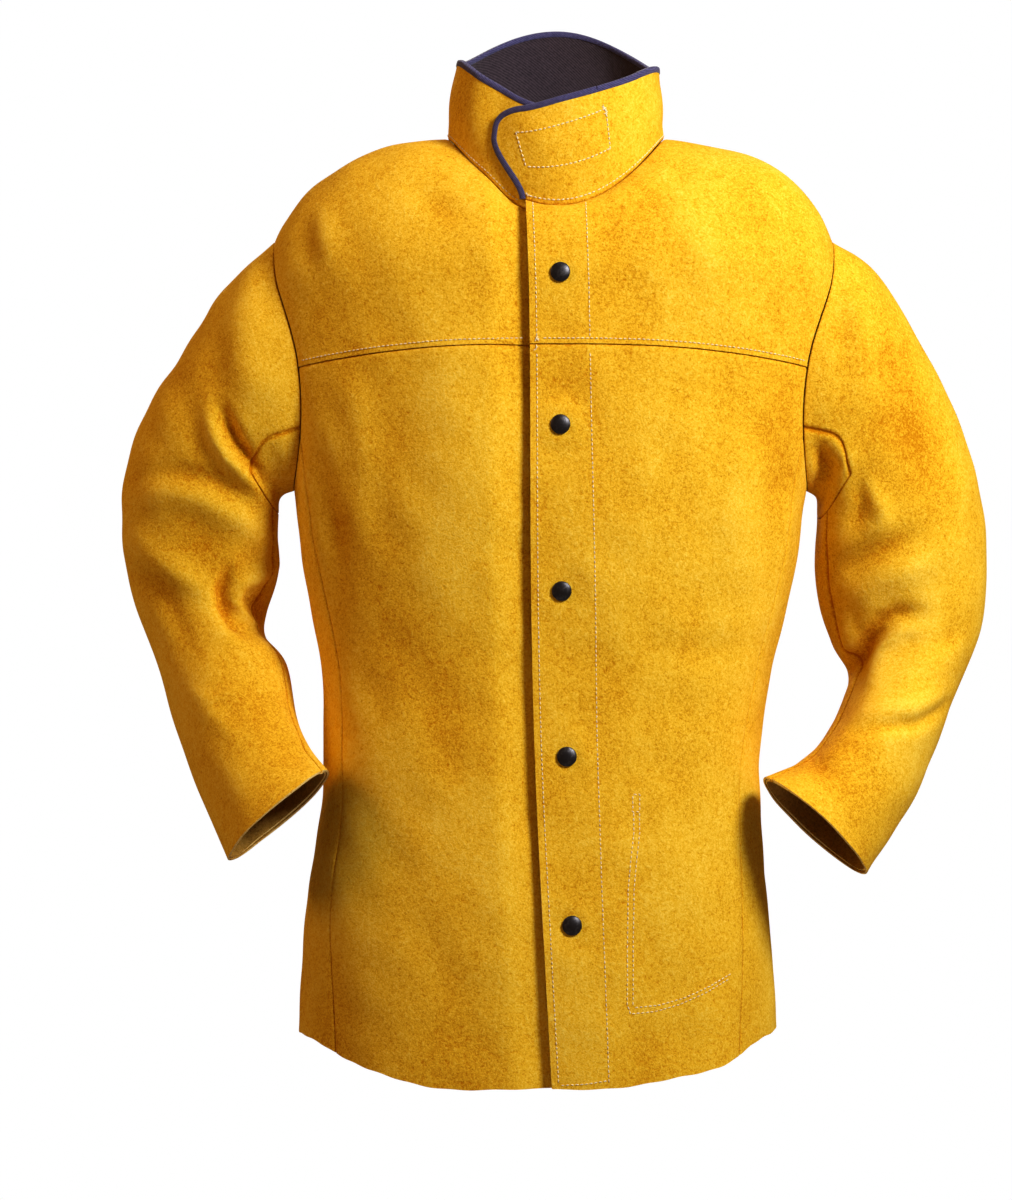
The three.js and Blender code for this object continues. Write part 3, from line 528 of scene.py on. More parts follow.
# %% Columns between two seams
def place_on(steps, first, last, a, b, scale_a, scale_b):
    """The value at each step between a and b, where a scale turns millimetres into that value."""
    columns = []
    for kind, value, _ in steps:
        if kind == "start":
            columns.append(a + value / scale_a)
        elif kind == "end":
            columns.append(b - value / scale_b)
        else:
            columns.append(mix(a + first / scale_a, b - last / scale_b, value))
    return np.stack(columns, -1)


# %% [markdown]
# A grid's corners are found again by their flat place, and moved all at once. The grid also carries a number per
# corner, the painted shading, which the leather's colour reads: shade painted into hollows and seams, and lighter
# ridges. Its edges are marked sharp, so that the cut edge of the thick leather stays crisp.


# %% A grid with every corner in its place
def grid_object(name, points, painted_shading=None, flip=False, wrap=False, materials=()):
    rows, columns = points.shape[0] - 1, points.shape[1] - 1
    bm = bmesh.new()
    bm.loops.layers.uv.new("UVMap")
    bmesh.ops.create_grid(bm, x_segments=columns, y_segments=rows, size=0.5, calc_uvs=True)
    mesh = bpy.data.meshes.new(name)
    bm.to_mesh(mesh)
    bm.free()
    flat = np.zeros(len(mesh.vertices) * 3, np.float32)
    mesh.vertices.foreach_get("co", flat)
    flat = flat.reshape(-1, 3)
    column = np.rint((flat[:, 0] + 0.5) * columns).astype(int)
    row = np.rint((flat[:, 1] + 0.5) * rows).astype(int)
    mesh.vertices.foreach_set("co", (points[row, column] * MM).astype(np.float32).ravel())
    values = np.zeros(len(flat)) if painted_shading is None else painted_shading[row, column]
    mesh.attributes.new("painted_shading", "FLOAT", "POINT").data.foreach_set("value", values.astype(np.float32))
    bm = bmesh.new()
    bm.from_mesh(mesh)
    if wrap:
        bmesh.ops.remove_doubles(bm, verts=bm.verts, dist=1e-6)
    if flip:
        bmesh.ops.reverse_faces(bm, faces=bm.faces)
    for face in bm.faces:
        face.smooth = True
    for edge in bm.edges:
        edge.smooth = not edge.is_boundary
    bm.to_mesh(mesh)
    bm.free()
    for material in materials:
        mesh.materials.append(material)
    made = bpy.data.objects.new(name, mesh)
    scene.collection.objects.link(made)
    return made


# %% Thickness as a live modifier: the cut edge and the inside take the next two materials
def thicken(piece, thickness):
    solid = piece.modifiers.new("thickness", "SOLIDIFY")
    solid.thickness = thickness * MM
    solid.offset = -1
    solid.use_quality_normals = True
    solid.material_offset_rim = 1
    solid.material_offset = 2
    return piece


# %% [markdown]
# ## Materials
# Suede is dull, with short fibres that lie in many directions, so it shows clouds of lighter and darker gold, and a
# fine grain. The same group of nodes serves the outside and the inside of the leather with other colours; the
# inside's colours are darker, as painted shade inside the jacket. Folds and seams are painted darker, as shade, and
# ridges are made lighter. Cloth is made by a second group, with fine slanted threads and a little fuzz.

# %% A helper for node groups
def group(name, inputs, outputs):
    made = bpy.data.node_groups.new(name, "ShaderNodeTree")
    for label, kind in inputs:
        made.interface.new_socket(label, in_out="INPUT", socket_type=kind)
    for label, kind in outputs:
        made.interface.new_socket(label, in_out="OUTPUT", socket_type=kind)
    start = made.nodes.new("NodeGroupInput")
    end = made.nodes.new("NodeGroupOutput")
    return made, start.outputs, end.inputs


COLOUR, VALUE = "NodeSocketColor", "NodeSocketFloat"


def cloud(tree, place, scale, detail, roughness=0.55, distortion=0.0):
    made = node(
        tree, "TexNoise",
        {"Vector": place, "Scale": scale, "Detail": detail, "Roughness": roughness, "Distortion": distortion},
    )
    return calculate(tree, "SUBTRACT", made.outputs["Fac"], 0.5)


# %% The nap of suede
PATCHES, MOTTLE, TUFTS, GRAIN, PAINTED_SHADING_GAIN = 0.55, 0.4, 0.75, 1.6, 0.42
nap, start, end = group(
    "nap", [("Light", COLOUR), ("Middle", COLOUR), ("Dark", COLOUR)], [("Color", COLOUR), ("Height", VALUE)]
)
place = node(nap, "TexCoord").outputs["Object"]
brushed = node(nap, "VectorMath", {0: place, 1: (1.0, 1.0, 0.62)}, operation="MULTIPLY").outputs[0]
patches = calculate(nap, "MULTIPLY", cloud(nap, brushed, 10, 2), PATCHES)
mottle = calculate(nap, "MULTIPLY", cloud(nap, brushed, 36, 3, 0.55, 0.6), MOTTLE)
tufts = cloud(nap, place, 210, 3, 0.65, 0.4)
grain = cloud(nap, place, 620, 2, 0.75, 0.6)
speck = calculate(nap, "ADD", calculate(nap, "MULTIPLY", tufts, TUFTS), calculate(nap, "MULTIPLY", grain, GRAIN))
# Painted shading per corner: shade painted into hollows and along seams, and ridges made lighter.
wear_and_shade = node(nap, "Attribute", attribute_name="painted_shading").outputs["Fac"]
tone = calculate(nap, "ADD", calculate(nap, "ADD", patches, mottle), speck)
tone = calculate(nap, "ADD", tone, calculate(nap, "MULTIPLY", wear_and_shade, PAINTED_SHADING_GAIN))
tone = calculate(nap, "ADD", tone, 0.5, clamp=True)
lower = node(nap, "MapRange", {0: tone, 1: 0.0, 2: 0.5}).outputs[0]
upper = node(nap, "MapRange", {0: tone, 1: 0.5, 2: 1.0}).outputs[0]
deep = node(nap, "Mix", {0: lower, 6: start["Dark"], 7: start["Middle"]}, data_type="RGBA").outputs[2]
full = node(nap, "Mix", {0: upper, 6: deep, 7: start["Light"]}, data_type="RGBA").outputs[2]
nap.links.new(full, end["Color"])
height = calculate(nap, "ADD", calculate(nap, "MULTIPLY", tufts, 0.6), calculate(nap, "MULTIPLY", grain, 0.5))
nap.links.new(height, end["Height"])

# %% The weave of cloth
weave, start, end = group(
    "weave", [("Light", COLOUR), ("Dark", COLOUR), ("Threads", VALUE)], [("Color", COLOUR), ("Height", VALUE)]
)
place = node(weave, "TexCoord").outputs["Object"]
fuzz = cloud(weave, place, 420, 2, 0.6)
slant = node(weave, "Mapping", {"Vector": place, "Rotation": (0.5, 0.6, 0.8)}).outputs[0]
ribs = {"Vector": slant, "Scale": start["Threads"], "Distortion": 1.5, "Detail": 1}
threads = calculate(weave, "MULTIPLY", node(weave, "TexWave", ribs).outputs["Fac"], 0.5)
mixed = calculate(weave, "ADD", threads, calculate(weave, "ADD", fuzz, 0.25), clamp=True)
cloth = node(weave, "Mix", {0: mixed, 6: start["Dark"], 7: start["Light"]}, data_type="RGBA").outputs[2]
weave.links.new(cloth, end["Color"])
weave.links.new(mixed, end["Height"])
print("node groups", [g.name for g in bpy.data.node_groups])


# %% A finish: one shader, fed by a group's colour and height
def finish(name, effect, values, roughness, bump, settings):
    material = bpy.data.materials.new(name)
    material.use_nodes = True
    tree = material.node_tree
    shader = tree.nodes["Principled BSDF"]
    used = tree.nodes.new("ShaderNodeGroup")
    used.node_tree = effect
    for key, value in values.items():
        used.inputs[key].default_value = value
    raised = node(tree, "Bump", {"Height": used.outputs["Height"], "Strength": bump[0], "Distance": bump[1]})
    tree.links.new(used.outputs["Color"], shader.inputs["Base Color"])
    tree.links.new(raised.outputs[0], shader.inputs["Normal"])
    shader.inputs["Roughness"].default_value = roughness
    for key, value in settings.items():
        shader.inputs[key].default_value = value
    return material


def rgb(r, g, b):
    return (r, g, b, 1)


# %% The finishes of the leather
SUEDE_SHEEN = {
    "Sheen Weight": 0.1, "Sheen Roughness": 0.5, "Sheen Tint": rgb(1, 0.62, 0.15), "Specular IOR Level": 0.08,
}
suede = finish(
    "suede", nap,
    {"Light": rgb(0.98, 0.71, 0.11), "Middle": rgb(0.87, 0.53, 0.028), "Dark": rgb(0.60, 0.23, 0.001)},
    0.95, (0.75, 0.0013), SUEDE_SHEEN,
)
# The inside of the leather: the same suede, painted darker as shade inside the jacket.
suede_inside = finish(
    "suede_inside", nap,
    {"Light": rgb(0.66, 0.42, 0.12), "Middle": rgb(0.50, 0.28, 0.05), "Dark": rgb(0.26, 0.12, 0.015)},
    0.97, (0.5, 0.0012), SUEDE_SHEEN,
)
cut_edge = finish(
    "cut_edge", nap,
    {"Light": rgb(0.98, 0.88, 0.50), "Middle": rgb(0.92, 0.72, 0.28), "Dark": rgb(0.66, 0.38, 0.05)},
    0.98, (0.6, 0.001), SUEDE_SHEEN,
)

# %% The finishes of the cloth and the thread
CLOTH_SHEEN = {"Sheen Weight": 0.2, "Sheen Roughness": 0.5, "Specular IOR Level": 0.2}
binding = finish(
    "binding", weave, {"Light": rgb(0.125, 0.115, 0.26), "Dark": rgb(0.03, 0.028, 0.085), "Threads": 260},
    0.85, (0.5, 0.0006), CLOTH_SHEEN,
)
lining = finish(
    "lining", weave, {"Light": rgb(0.085, 0.06, 0.075), "Dark": rgb(0.022, 0.016, 0.022), "Threads": 190},
    0.95, (0.5, 0.0008), CLOTH_SHEEN,
)
tape = finish(
    "tape", weave, {"Light": rgb(0.05, 0.05, 0.06), "Dark": rgb(0.008, 0.008, 0.01), "Threads": 330},
    0.9, (0.8, 0.001), CLOTH_SHEEN,
)
thread = finish(
    "thread", weave, {"Light": rgb(0.96, 0.92, 0.74), "Dark": rgb(0.82, 0.68, 0.36), "Threads": 420},
    0.8, (0.4, 0.0004), CLOTH_SHEEN,
)

# %% [markdown]
# ## Metal
# Snap caps are brass, enamelled black; their other parts are plated with nickel. Both are rubbed by
# use. A third group makes small worn spots, which are paler and rougher than the rest.

# %% Worn spots on metal
rub, start, end = group("rub", [("Base", COLOUR), ("Worn", COLOUR)], [("Color", COLOUR), ("Roughness", VALUE)])
place = node(rub, "TexCoord").outputs["Object"]
spots = calculate(rub, "ADD", cloud(rub, place, 260, 4, 0.7), 0.5)
mask = node(rub, "MapRange", {0: spots, 1: 0.52, 2: 0.74}).outputs[0]
shade = node(rub, "Mix", {0: mask, 6: start["Base"], 7: start["Worn"]}, data_type="RGBA").outputs[2]
rub.links.new(shade, end["Color"])
rub.links.new(node(rub, "MapRange", {0: spots, 3: 0.26, 4: 0.5}).outputs[0], end["Roughness"])


# %% Black enamel and nickel
def metal(name, base, wear_and_shade, metallic):
    material = bpy.data.materials.new(name)
    material.use_nodes = True
    tree = material.node_tree
    shader = tree.nodes["Principled BSDF"]
    used = tree.nodes.new("ShaderNodeGroup")
    used.node_tree = rub
    used.inputs["Base"].default_value = base
    used.inputs["Worn"].default_value = wear_and_shade
    tree.links.new(used.outputs["Color"], shader.inputs["Base Color"])
    tree.links.new(used.outputs["Roughness"], shader.inputs["Roughness"])
    shader.inputs["Metallic"].default_value = metallic
    return material


snap_black = metal("snap_black", rgb(0.055, 0.052, 0.058), rgb(0.13, 0.125, 0.13), 0.85)
snap_steel = metal("snap_steel", rgb(0.60, 0.60, 0.62), rgb(0.42, 0.41, 0.40), 1.0)
print("materials", [m.name for m in bpy.data.materials])

# %% [markdown]
# ## Cutting and laying the body's panels
# A panel lies between two seam lines and between a bottom and a top. All the panels share one
# function, which also declares each piece as a sheet with the flat size it would be cut to.


# %% Where the rows of a panel lie
# The inside face, and both faces of a facing, take the suede painted darker as shade.
LEATHER_FACES = (suede, cut_edge, suede_inside)
FACING_FACES = (suede_inside, cut_edge, suede_inside)
# SEAM_SHADE is how much painted shade darkens the leather along a rolled seam.
GRID_MM, SEAM_SHADE = 3.2, 0.8
sheet_sizes = {}


def row_rises(steps, inset, bottom, top, turns):
    """The rise of each row at its own turn, or at each turn of its own list."""
    kinds = np.array([kind for kind, _, _ in steps])
    values = np.array([value for _, value, _ in steps], float)
    if np.ndim(turns) == 2:
        kinds, values = kinds[:, None], values[:, None]
    low, high = bottom(turns), top(turns)
    between = mix(low + inset[0], high - inset[1], values)
    return np.where(kinds == "start", low + values, np.where(kinds == "end", high - values, between))


def row_ends(steps, inset, bottom, top, line):
    """Where each row meets a seam line, found by going back and forth a few times."""
    turns = np.full(len(steps), float(line(np.array(SIDE_TOP))))
    for _ in range(9):
        turns = line(row_rises(steps, inset, bottom, top, turns))
    rises = row_rises(steps, inset, bottom, top, turns)
    per_turn = np.linalg.norm(body_point(turns + 0.005, rises) - body_point(turns - 0.005, rises), axis=-1) / 0.01
    return turns, rises, per_turn


print("a new grid corner every", GRID_MM, "mm")


# %% A whole panel, from its four lines
def panel(name, left, right, bottom, top, edges, sink=None, thickness=LEATHER, spacing=None, materials=None):
    left_edge, right_edge, bottom_edge, top_edge = edges
    middle = 0.5 * (left(np.array(SIDE_TOP)) + right(np.array(SIDE_TOP)))
    tall = float(top(middle) - bottom(middle))
    rows, *inset = edge_steps(bottom_edge, top_edge, max(4, int(tall / GRID_MM)))
    if spacing:
        rows = [(kind, spacing(value) if kind == "share" else value, depth) for kind, value, depth in rows]
    a, rise_a, scale_a = row_ends(rows, inset, bottom, top, left)
    b, rise_b, scale_b = row_ends(rows, inset, bottom, top, right)
    wide = float(np.linalg.norm(body_point(a, rise_a) - body_point(b, rise_b), axis=-1).max())
    wide = max(wide, min(float(np.max(np.abs(b - a) * (scale_a + scale_b) / 2)), 2.2 * wide))
    columns, first, last = edge_steps(left_edge, right_edge, max(3, int(wide / GRID_MM)))
    turns = place_on(columns, first, last, a, b, scale_a, scale_b)
    rise = row_rises(rows, inset, bottom, top, turns)
    deep_rows = np.array([depth for _, _, depth in rows])[:, None]
    deep_columns = np.array([depth for _, _, depth in columns])[None]
    depth = np.minimum(deep_rows + deep_columns, 4.6)
    extra = 0 if sink is None else sink(body_point(turns, rise)[..., 0], rise)
    points, _, painted_shading = body_skin(turns, rise, depth + extra)
    # Painted shade along each rolled seam, where the leather turns in.
    seam = SEAM_SHADE * smooth(depth / 1.6)
    piece = grid_object(name, points, painted_shading - seam, materials=materials or LEATHER_FACES)
    thicken(piece, thickness)
    declare_sheet(piece, points)
    return piece


# %% The flat size of a sheet, measured along its finished surface
def declare_sheet(piece, points):
    across = np.linalg.norm(np.diff(points, axis=1), axis=2).sum(1)
    up = np.linalg.norm(np.diff(points, axis=0), axis=2).sum(0)
    wide, tall = float(across.max()) * MM, float(up.max()) * MM
    a, b = np.diff(points[:-1], axis=1), np.diff(points[:, :-1], axis=0)
    area = float(np.linalg.norm(np.cross(a, b), axis=2).sum()) * MM * MM
    area = min(area, wide * tall)
    area = max(area, 0.3 * wide * tall)
    sheet_sizes[piece.name] = (round(wide, 3), round(tall, 3), round(area, 4))


# %% [markdown]
# ## Which panel goes where
# Two fronts, two front yokes, a back with its yoke and two side panels make the body. The right front goes on under
# the placket, and sinks there so that the left front can lie over it. Most panels stay with the torso. The left front
# opens on a slanted line; its pieces are left where they are laid, not joined to a body.

# %% Lines that the panels share
front_edge, facing_edge = front_line(FRONT_EDGE), front_line(FACING_EDGE)
underlay_edge = lambda rise: turn_at_x(np.full(np.shape(rise), UNDERLAY_EDGE), rise)
mirrored = lambda line: lambda rise: -line(rise)
back_round = lambda line: lambda rise: 2 * math.pi - line(rise)
side_front = lambda rise: front_side_line(np.minimum(rise, SIDE_TOP))
side_back = lambda rise: math.pi - front_side_line(np.minimum(rise, SIDE_TOP))
neck_top = lambda turn: np.full(np.shape(turn), float(NECK_RISE))
SIDE_HALF = 90 - SIDE_SEAM_TOP
side_roof = lambda turn: armhole_floor(np.clip(np.degrees(np.abs(turn)) - 90, -SIDE_HALF, SIDE_HALF))


def underlay_sink(x, rise):
    edge = along(FRONT_EDGE, 1, np.minimum(rise, 30))
    return UNDERLAY_SINK * smooth((x - edge + 34) / 30)


def yoke_spacing(share):
    """Rows crowd together at the armhole's top, where its edge runs level."""
    bend = 0.42
    if share < bend:
        return bend * math.sin(share / bend * math.pi / 2)
    return share


print("front edge at the hem", round(float(np.degrees(front_edge(-758.0))), 1), "degrees")


def on_left_front(piece):
    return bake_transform(piece)


SUNK, CROWDED = {"sink": underlay_sink}, {"spacing": yoke_spacing}
PANELS = [
    ("right_front", ["right_front_panel"], mirrored(front_side_line), underlay_edge, hem_rise, yoke_rise,
     (SEWN, RAW, RAW, UNDER), SUNK),
    ("right_yoke", ["right_front_yoke"], mirrored(front_side_line), underlay_edge, yoke_rise, neck_top,
     (SEWN, RAW, LAPPED, AT_NECK), SUNK | CROWDED),
    ("left_front_leather", ["left_front_placket", "left_front_panel"], front_edge, front_side_line, hem_rise,
     yoke_rise, (RAW, SEWN, RAW, UNDER), {}),
    ("left_yoke", ["left_yoke_placket", "left_front_yoke"], front_edge, front_side_line, yoke_rise, neck_top,
     (RAW, SEWN, LAPPED, AT_NECK), CROWDED),
    ("back", ["back_panel"], back_side_line, back_round(back_side_line), hem_rise, yoke_rise,
     (SEWN, SEWN, RAW, UNDER), {}),
    ("back_yoke_leather", ["back_yoke"], back_side_line, back_round(back_side_line), yoke_rise, neck_top,
     (SEWN, SEWN, LAPPED, AT_NECK), CROWDED),
    ("left_side", ["left_side_panel"], side_front, side_back, hem_rise, side_roof, (SEWN, SEWN, RAW, SEWN), {}),
    ("right_side", ["right_side_panel"], mirrored(side_back), mirrored(side_front), hem_rise, side_roof,
     (SEWN, SEWN, RAW, SEWN), {}),
]
for name, nodes, *lines, edges, options in PANELS:
    piece = panel(name, *lines, edges, **options)
    if name in ("left_front_leather", "left_yoke"):
        on_left_front(piece)
    else:
        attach(piece, "torso")
    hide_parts(*nodes)
print("panels", {name: size[:2] for name, size in sheet_sizes.items()})

# %% [markdown]
# ## Facings and the inside pocket
# A strip of leather is sewn behind each front edge, so that the snaps hold in two layers. The
# pocket is a bag of dark cloth behind the left front, open at its top.

# %% Facings
BEHIND_LEFT = LEATHER + FACING_GAP
BEHIND_RIGHT = UNDERLAY_SINK + LEATHER + FACING_GAP
facing_low = lambda turn: hem_rise(turn) + 4
facing_high = lambda turn: np.full(np.shape(turn), NECK_RISE - 3.0)
left_facing = panel("left_facing", front_edge, facing_edge, facing_low, facing_high, (RAW, RAW, RAW, RAW),
                    sink=lambda x, rise: BEHIND_LEFT, thickness=FACING, materials=FACING_FACES)
on_left_front(left_facing)
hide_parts("placket_facing")
right_facing = panel("right_facing", front_line(FRONT_EDGE, 3), underlay_edge, facing_low, facing_high,
                     (RAW, RAW, RAW, RAW), sink=lambda x, rise: BEHIND_RIGHT, thickness=FACING,
                     materials=FACING_FACES)
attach(right_facing, "torso")
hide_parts("right_front_facing")
for piece in (left_facing, right_facing):
    print(piece.name, sheet_sizes[piece.name])

# %% [markdown]
# The pocket is modelled closed by the leather in front of it. Its cloth swells inwards, most in the
# middle and least at the seams, and hangs in small waves.

# %% Inside pocket
POCKET = {"front": 60, "back": 53, "top": -540, "bottom": -694, "swell": 15}
share_up, share_across = np.meshgrid(np.linspace(0, 1, 44), np.linspace(0, 1, 30), indexing="ij")
pocket_rise = mix(POCKET["bottom"], POCKET["top"], share_up)
pocket_turn = mix(turn_at_x(POCKET["front"], pocket_rise), math.radians(POCKET["back"]), share_across)
belly = np.sin(share_across * math.pi) * np.sin(share_up * math.pi / 2)
sag = 1.2 * np.sin(share_across * 21 + 3 * share_up) * belly
pocket_points, _, _ = body_skin(pocket_turn, pocket_rise, BEHIND_LEFT + POCKET["swell"] * belly + sag)
pocket = grid_object("pocket_bag", pocket_points, materials=(lining,) * 3)
thicken(pocket, LINING)
declare_sheet(pocket, pocket_points)
on_left_front(pocket)
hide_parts("inside_pocket")
print("pocket", sheet_sizes["pocket_bag"])

# %% [markdown]
# ## Sleeves
# A sleeve is a tube that runs from the armhole to the cuff, over a bent elbow. The shape is a row of ovals, joined by
# smooth curves. It has a gusset under the arm and a seam along its inner side, which are narrow grooves where the
# leather turns in. It is made as two tubes that meet above the elbow.

# %% Sleeve sections: outer x and z, inner x and z, y, half depth and hang
SLEEVES = {
    "right": [
        [261, -110, 222, -290, 8, 68, 0], [301, -163, 224, -302, 14, 67, -4], [334, -218, 225, -320, 21, 65, -6],
        [354, -275, 225, -346, 27, 63, -4], [354, -330, 236, -382, 30, 60, 4], [342, -376, 237, -404, 28, 57, 12],
        [322, -426, 219, -428, 12, 56, 18], [302, -487, 208, -468, -18, 55, 20], [281, -539, 195, -495, -48, 53, 16],
        [260, -580, 180, -511, -76, 52, 12],
    ],
    "left": [
        [263, -102, 219, -290, 8, 68, 0], [300, -155, 220, -306, 14, 67, -4], [331, -214, 219, -332, 21, 66, -6],
        [353, -278, 221, -367, 27, 65, -4], [360, -340, 232, -408, 30, 62, 4], [354, -398, 246, -432, 26, 58, 12],
        [335, -447, 240, -455, 8, 56, 18], [311, -495, 219, -484, -18, 56, 20], [285, -545, 193, -505, -44, 56, 16],
        [252, -592, 168, -516, -70, 56, 12],
    ],
}
CUFF_RING, SPLIT_RING, GUSSET_END = 10, 4, 2
GUSSET_FROM, GUSSET_TO, SLEEVE_SEAM = 120, 240, 205
ARM_GAP = 0.1
print({side: len(table) for side, table in SLEEVES.items()}, "ovals after the armhole")


# %% A smooth tube through the rings
def sleeve_rings(side, angle):
    """Every ring's point at each angle: an array of ring, point, coordinate."""
    table = np.array(SLEEVES[side], float)
    sign = 1 if side == "left" else -1
    turn = np.radians(90 + ARMHOLE_HALF * np.sin(angle))
    hole = body_point(sign * turn, ARMHOLE_MIDDLE + ARMHOLE_HALF_RISE * np.cos(angle))
    hole = np.stack([hole[..., 0] * sign + ARM_GAP, hole[..., 1], hole[..., 2]], -1)
    rings = [hole]
    for out_x, out_z, in_x, in_z, y, half, hang in table:
        centre = np.array([(out_x + in_x) / 2, y, (out_z + in_z) / 2])
        outward = np.array([(out_x - in_x) / 2, 0, (out_z - in_z) / 2])
        backward = np.array([0, half, -hang])
        rings.append(centre + np.cos(angle)[..., None] * outward + np.sin(angle)[..., None] * backward)
    return np.stack(rings) * (sign, 1, 1)


def sleeve_point(side, ring, angle):
    ring, angle = np.broadcast_arrays(np.asarray(ring, float), np.asarray(angle, float))
    rings = sleeve_rings(side, angle)
    first, last = 2 * rings[0] - rings[1], 2 * rings[-1] - rings[-2]
    rings = np.concatenate([first[None], rings, last[None]])
    k = np.clip(np.floor(ring).astype(int), 0, CUFF_RING - 1)
    t = (ring - k)[..., None]
    pick = lambda shift: np.take_along_axis(rings, (k + shift)[None, ..., None], 0)[0]
    before, a, b, after = (pick(shift) for shift in range(4))
    return (
        a * (2 * t**3 - 3 * t**2 + 1) + b * (3 * t**2 - 2 * t**3)
        + (b - before) * (t**3 - 2 * t**2 + t) / 2 + (after - a) * (t**3 - t**2) / 2
    )


# %% The skin of a sleeve
SLEEVE_SWELL = (1.9, 0.55)


def sleeve_normal(side, ring, angle):
    near = np.clip(ring + 0.05, 0.1, CUFF_RING)
    lengthwise = sleeve_point(side, near, angle) - sleeve_point(side, near - 0.1, angle)
    crosswise = sleeve_point(side, ring, angle + 0.03) - sleeve_point(side, ring, angle - 0.03)
    return unit(np.cross(crosswise, lengthwise)) * (-1 if side == "left" else 1)


cuff_snap_angle = math.radians(40)  # on the outer back of the cuff
cuff_snap_places = {s: sleeve_point(s, np.array([9.5]), np.array([cuff_snap_angle]))[0] for s in SLEEVES}


def sleeve_skin(side, ring, angle, depth=0.0):
    ring, angle = np.broadcast_arrays(np.asarray(ring, float), np.asarray(angle, float))
    shape = ring.shape
    ring, angle = ring.ravel(), angle.ravel()
    points, normals = sleeve_point(side, ring, angle), sleeve_normal(side, ring, angle)
    free = smooth(ring / 0.6) * far_from(points, [cuff_snap_places[side]], *FREE_OF_SNAP)
    lift = (waves(points, *SLEEVE_SWELL) + creases(points, normals, "sleeve")) * free
    skin = points + normals * (lift - np.broadcast_to(depth, shape).ravel())[:, None]
    return skin.reshape(*shape, 3), normals.reshape(*shape, 3), shade_of(lift).reshape(shape)


# %% [markdown]
# The seams of a sleeve are drawn as grooves: the leather dips where it is closer than about a
# millimetre to a seam. Each corner's distance to the sleeve seam, to the gusset's sides and to its
# end is measured, and the smallest one counts. The grid gets extra rows beside every seam.

# %% Grooves of the sleeve's seams
GROOVE_DEPTH, GROOVE_WIDTH = 1.9, 1.25
RING_MM, HALF_ROUND, ELSEWHERE = 55, 60, 99  # a ring's length, the sleeve's radius, far from a seam
ARMHOLE_ROLL = ([0, 0.1, 0.4, 0.9, 1.8, 3.2], [2.8, 1.1, 0.6, 0.26, 0.06, 0])


def crowded(values, lines, offsets):
    """Values with extra ones beside each line, so that a narrow groove has enough rows."""
    kept = [v for v in values if all(abs(v - line) > offsets[-1] * 1.15 for line in lines)]
    for line in lines:
        kept += [line + sign * o for o in offsets for sign in ((-1, 1) if o else (1,))]
    return np.array(sorted(v for v in set(kept) if values[0] - 1e-9 <= v <= values[-1] + 1e-9))


def seam_depth(ring, angle):
    turn = np.degrees(angle)
    to_line = np.min([np.abs(turn - SLEEVE_SEAM), np.abs(turn - SLEEVE_SEAM - 360)], 0)
    long_seam = np.radians(to_line) * HALF_ROUND + ELSEWHERE * (ring < GUSSET_END)
    under = (turn < GUSSET_TO + 1e-6) | (turn > GUSSET_FROM + 360 - 1e-6)
    to_side = np.radians(np.minimum(np.abs(turn - GUSSET_TO), np.abs(turn - GUSSET_FROM - 360))) * HALF_ROUND
    side_seam = np.hypot(to_side, np.maximum(ring - GUSSET_END, 0) * RING_MM)
    end_seam = np.abs(ring - GUSSET_END) * RING_MM + ELSEWHERE * ~under
    nearest = np.minimum(np.minimum(long_seam, side_seam), end_seam)
    return GROOVE_DEPTH * np.exp(-((nearest / GROOVE_WIDTH) ** 2))


print("groove", GROOVE_DEPTH, "mm deep")


# %% A tube of leather from one ring to another
def sleeve_tube(side, name, from_ring, to_ring, bodies, start, end, nodes):
    degrees = np.linspace(SLEEVE_SEAM, SLEEVE_SEAM + 360, 118)
    lines = [SLEEVE_SEAM, GUSSET_TO, GUSSET_FROM + 360, SLEEVE_SEAM + 360]
    degrees = crowded(list(degrees), lines, [0, 0.35, 0.8, 1.6, 2.8])
    rings = np.linspace(from_ring, to_ring, int((to_ring - from_ring) * RING_MM / GRID_MM))
    if from_ring == 0:
        rings = crowded(list(rings), [GUSSET_END], [0, 0.018, 0.04, 0.08])
        rings = np.concatenate([np.array(ARMHOLE_ROLL[0]) / RING_MM, [r for r in rings if r > 4.4 / RING_MM]])
    ring, angle = np.meshgrid(rings, np.radians(degrees), indexing="ij")
    depth = seam_depth(ring, angle)
    if from_ring == 0:
        depth = np.minimum(depth + np.interp(ring * RING_MM, *ARMHOLE_ROLL), 4.6)
    points, _, painted_shading = sleeve_skin(side, ring, angle, depth)
    points[:, -1] = points[:, 0]
    # The leather is painted darker in the seams' grooves, as shade where it dips.
    piece = grid_object(name, points, painted_shading - np.minimum(1.1, depth), flip=side == "left", wrap=True,
                        materials=LEATHER_FACES)
    thicken(piece, LEATHER)
    declare_sheet(piece, points)
    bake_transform(piece)
    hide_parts(*nodes)
    return piece


# %% Both sleeves: a top tube from the armhole, and a lower one down to the cuff
ELBOW_BENDS = {
    "right": ((0.2731, 0.03, -0.3207), (0.3109, 0.03, -0.3894)),
    "left": ((0.2699, 0.03, -0.3349), (0.3244, 0.03, -0.4156)),
}
SHOULDER_BEND = ((0.245, 0.012, -0.2209), (0.2959, 0.012, -0.2660))
for side, sign in (("right", -1), ("left", 1)):
    reflect = lambda p: (p[0] * sign, p[1], p[2])
    upper, forearm, elbow_bend = f"{side}_upper_sleeve", f"{side}_forearm", ELBOW_BENDS[side]
    sleeve_tube(side, f"{side}_sleeve_top", 0, SPLIT_RING, ("torso", upper), *map(reflect, SHOULDER_BEND),
                (f"{side}_sleeve_head", f"{side}_underarm_gusset", upper))
    sleeve_tube(side, f"{side}_sleeve_lower", SPLIT_RING, CUFF_RING, (upper, forearm), *map(reflect, elbow_bend),
                (f"{side}_elbow", forearm))
print("sleeves", {k: v[:2] for k, v in sheet_sizes.items() if "sleeve" in k})

# %% [markdown]
# Inside each cuff is a strip of leather that stiffens it and holds the snap. It follows the same
# skin, one layer deeper.

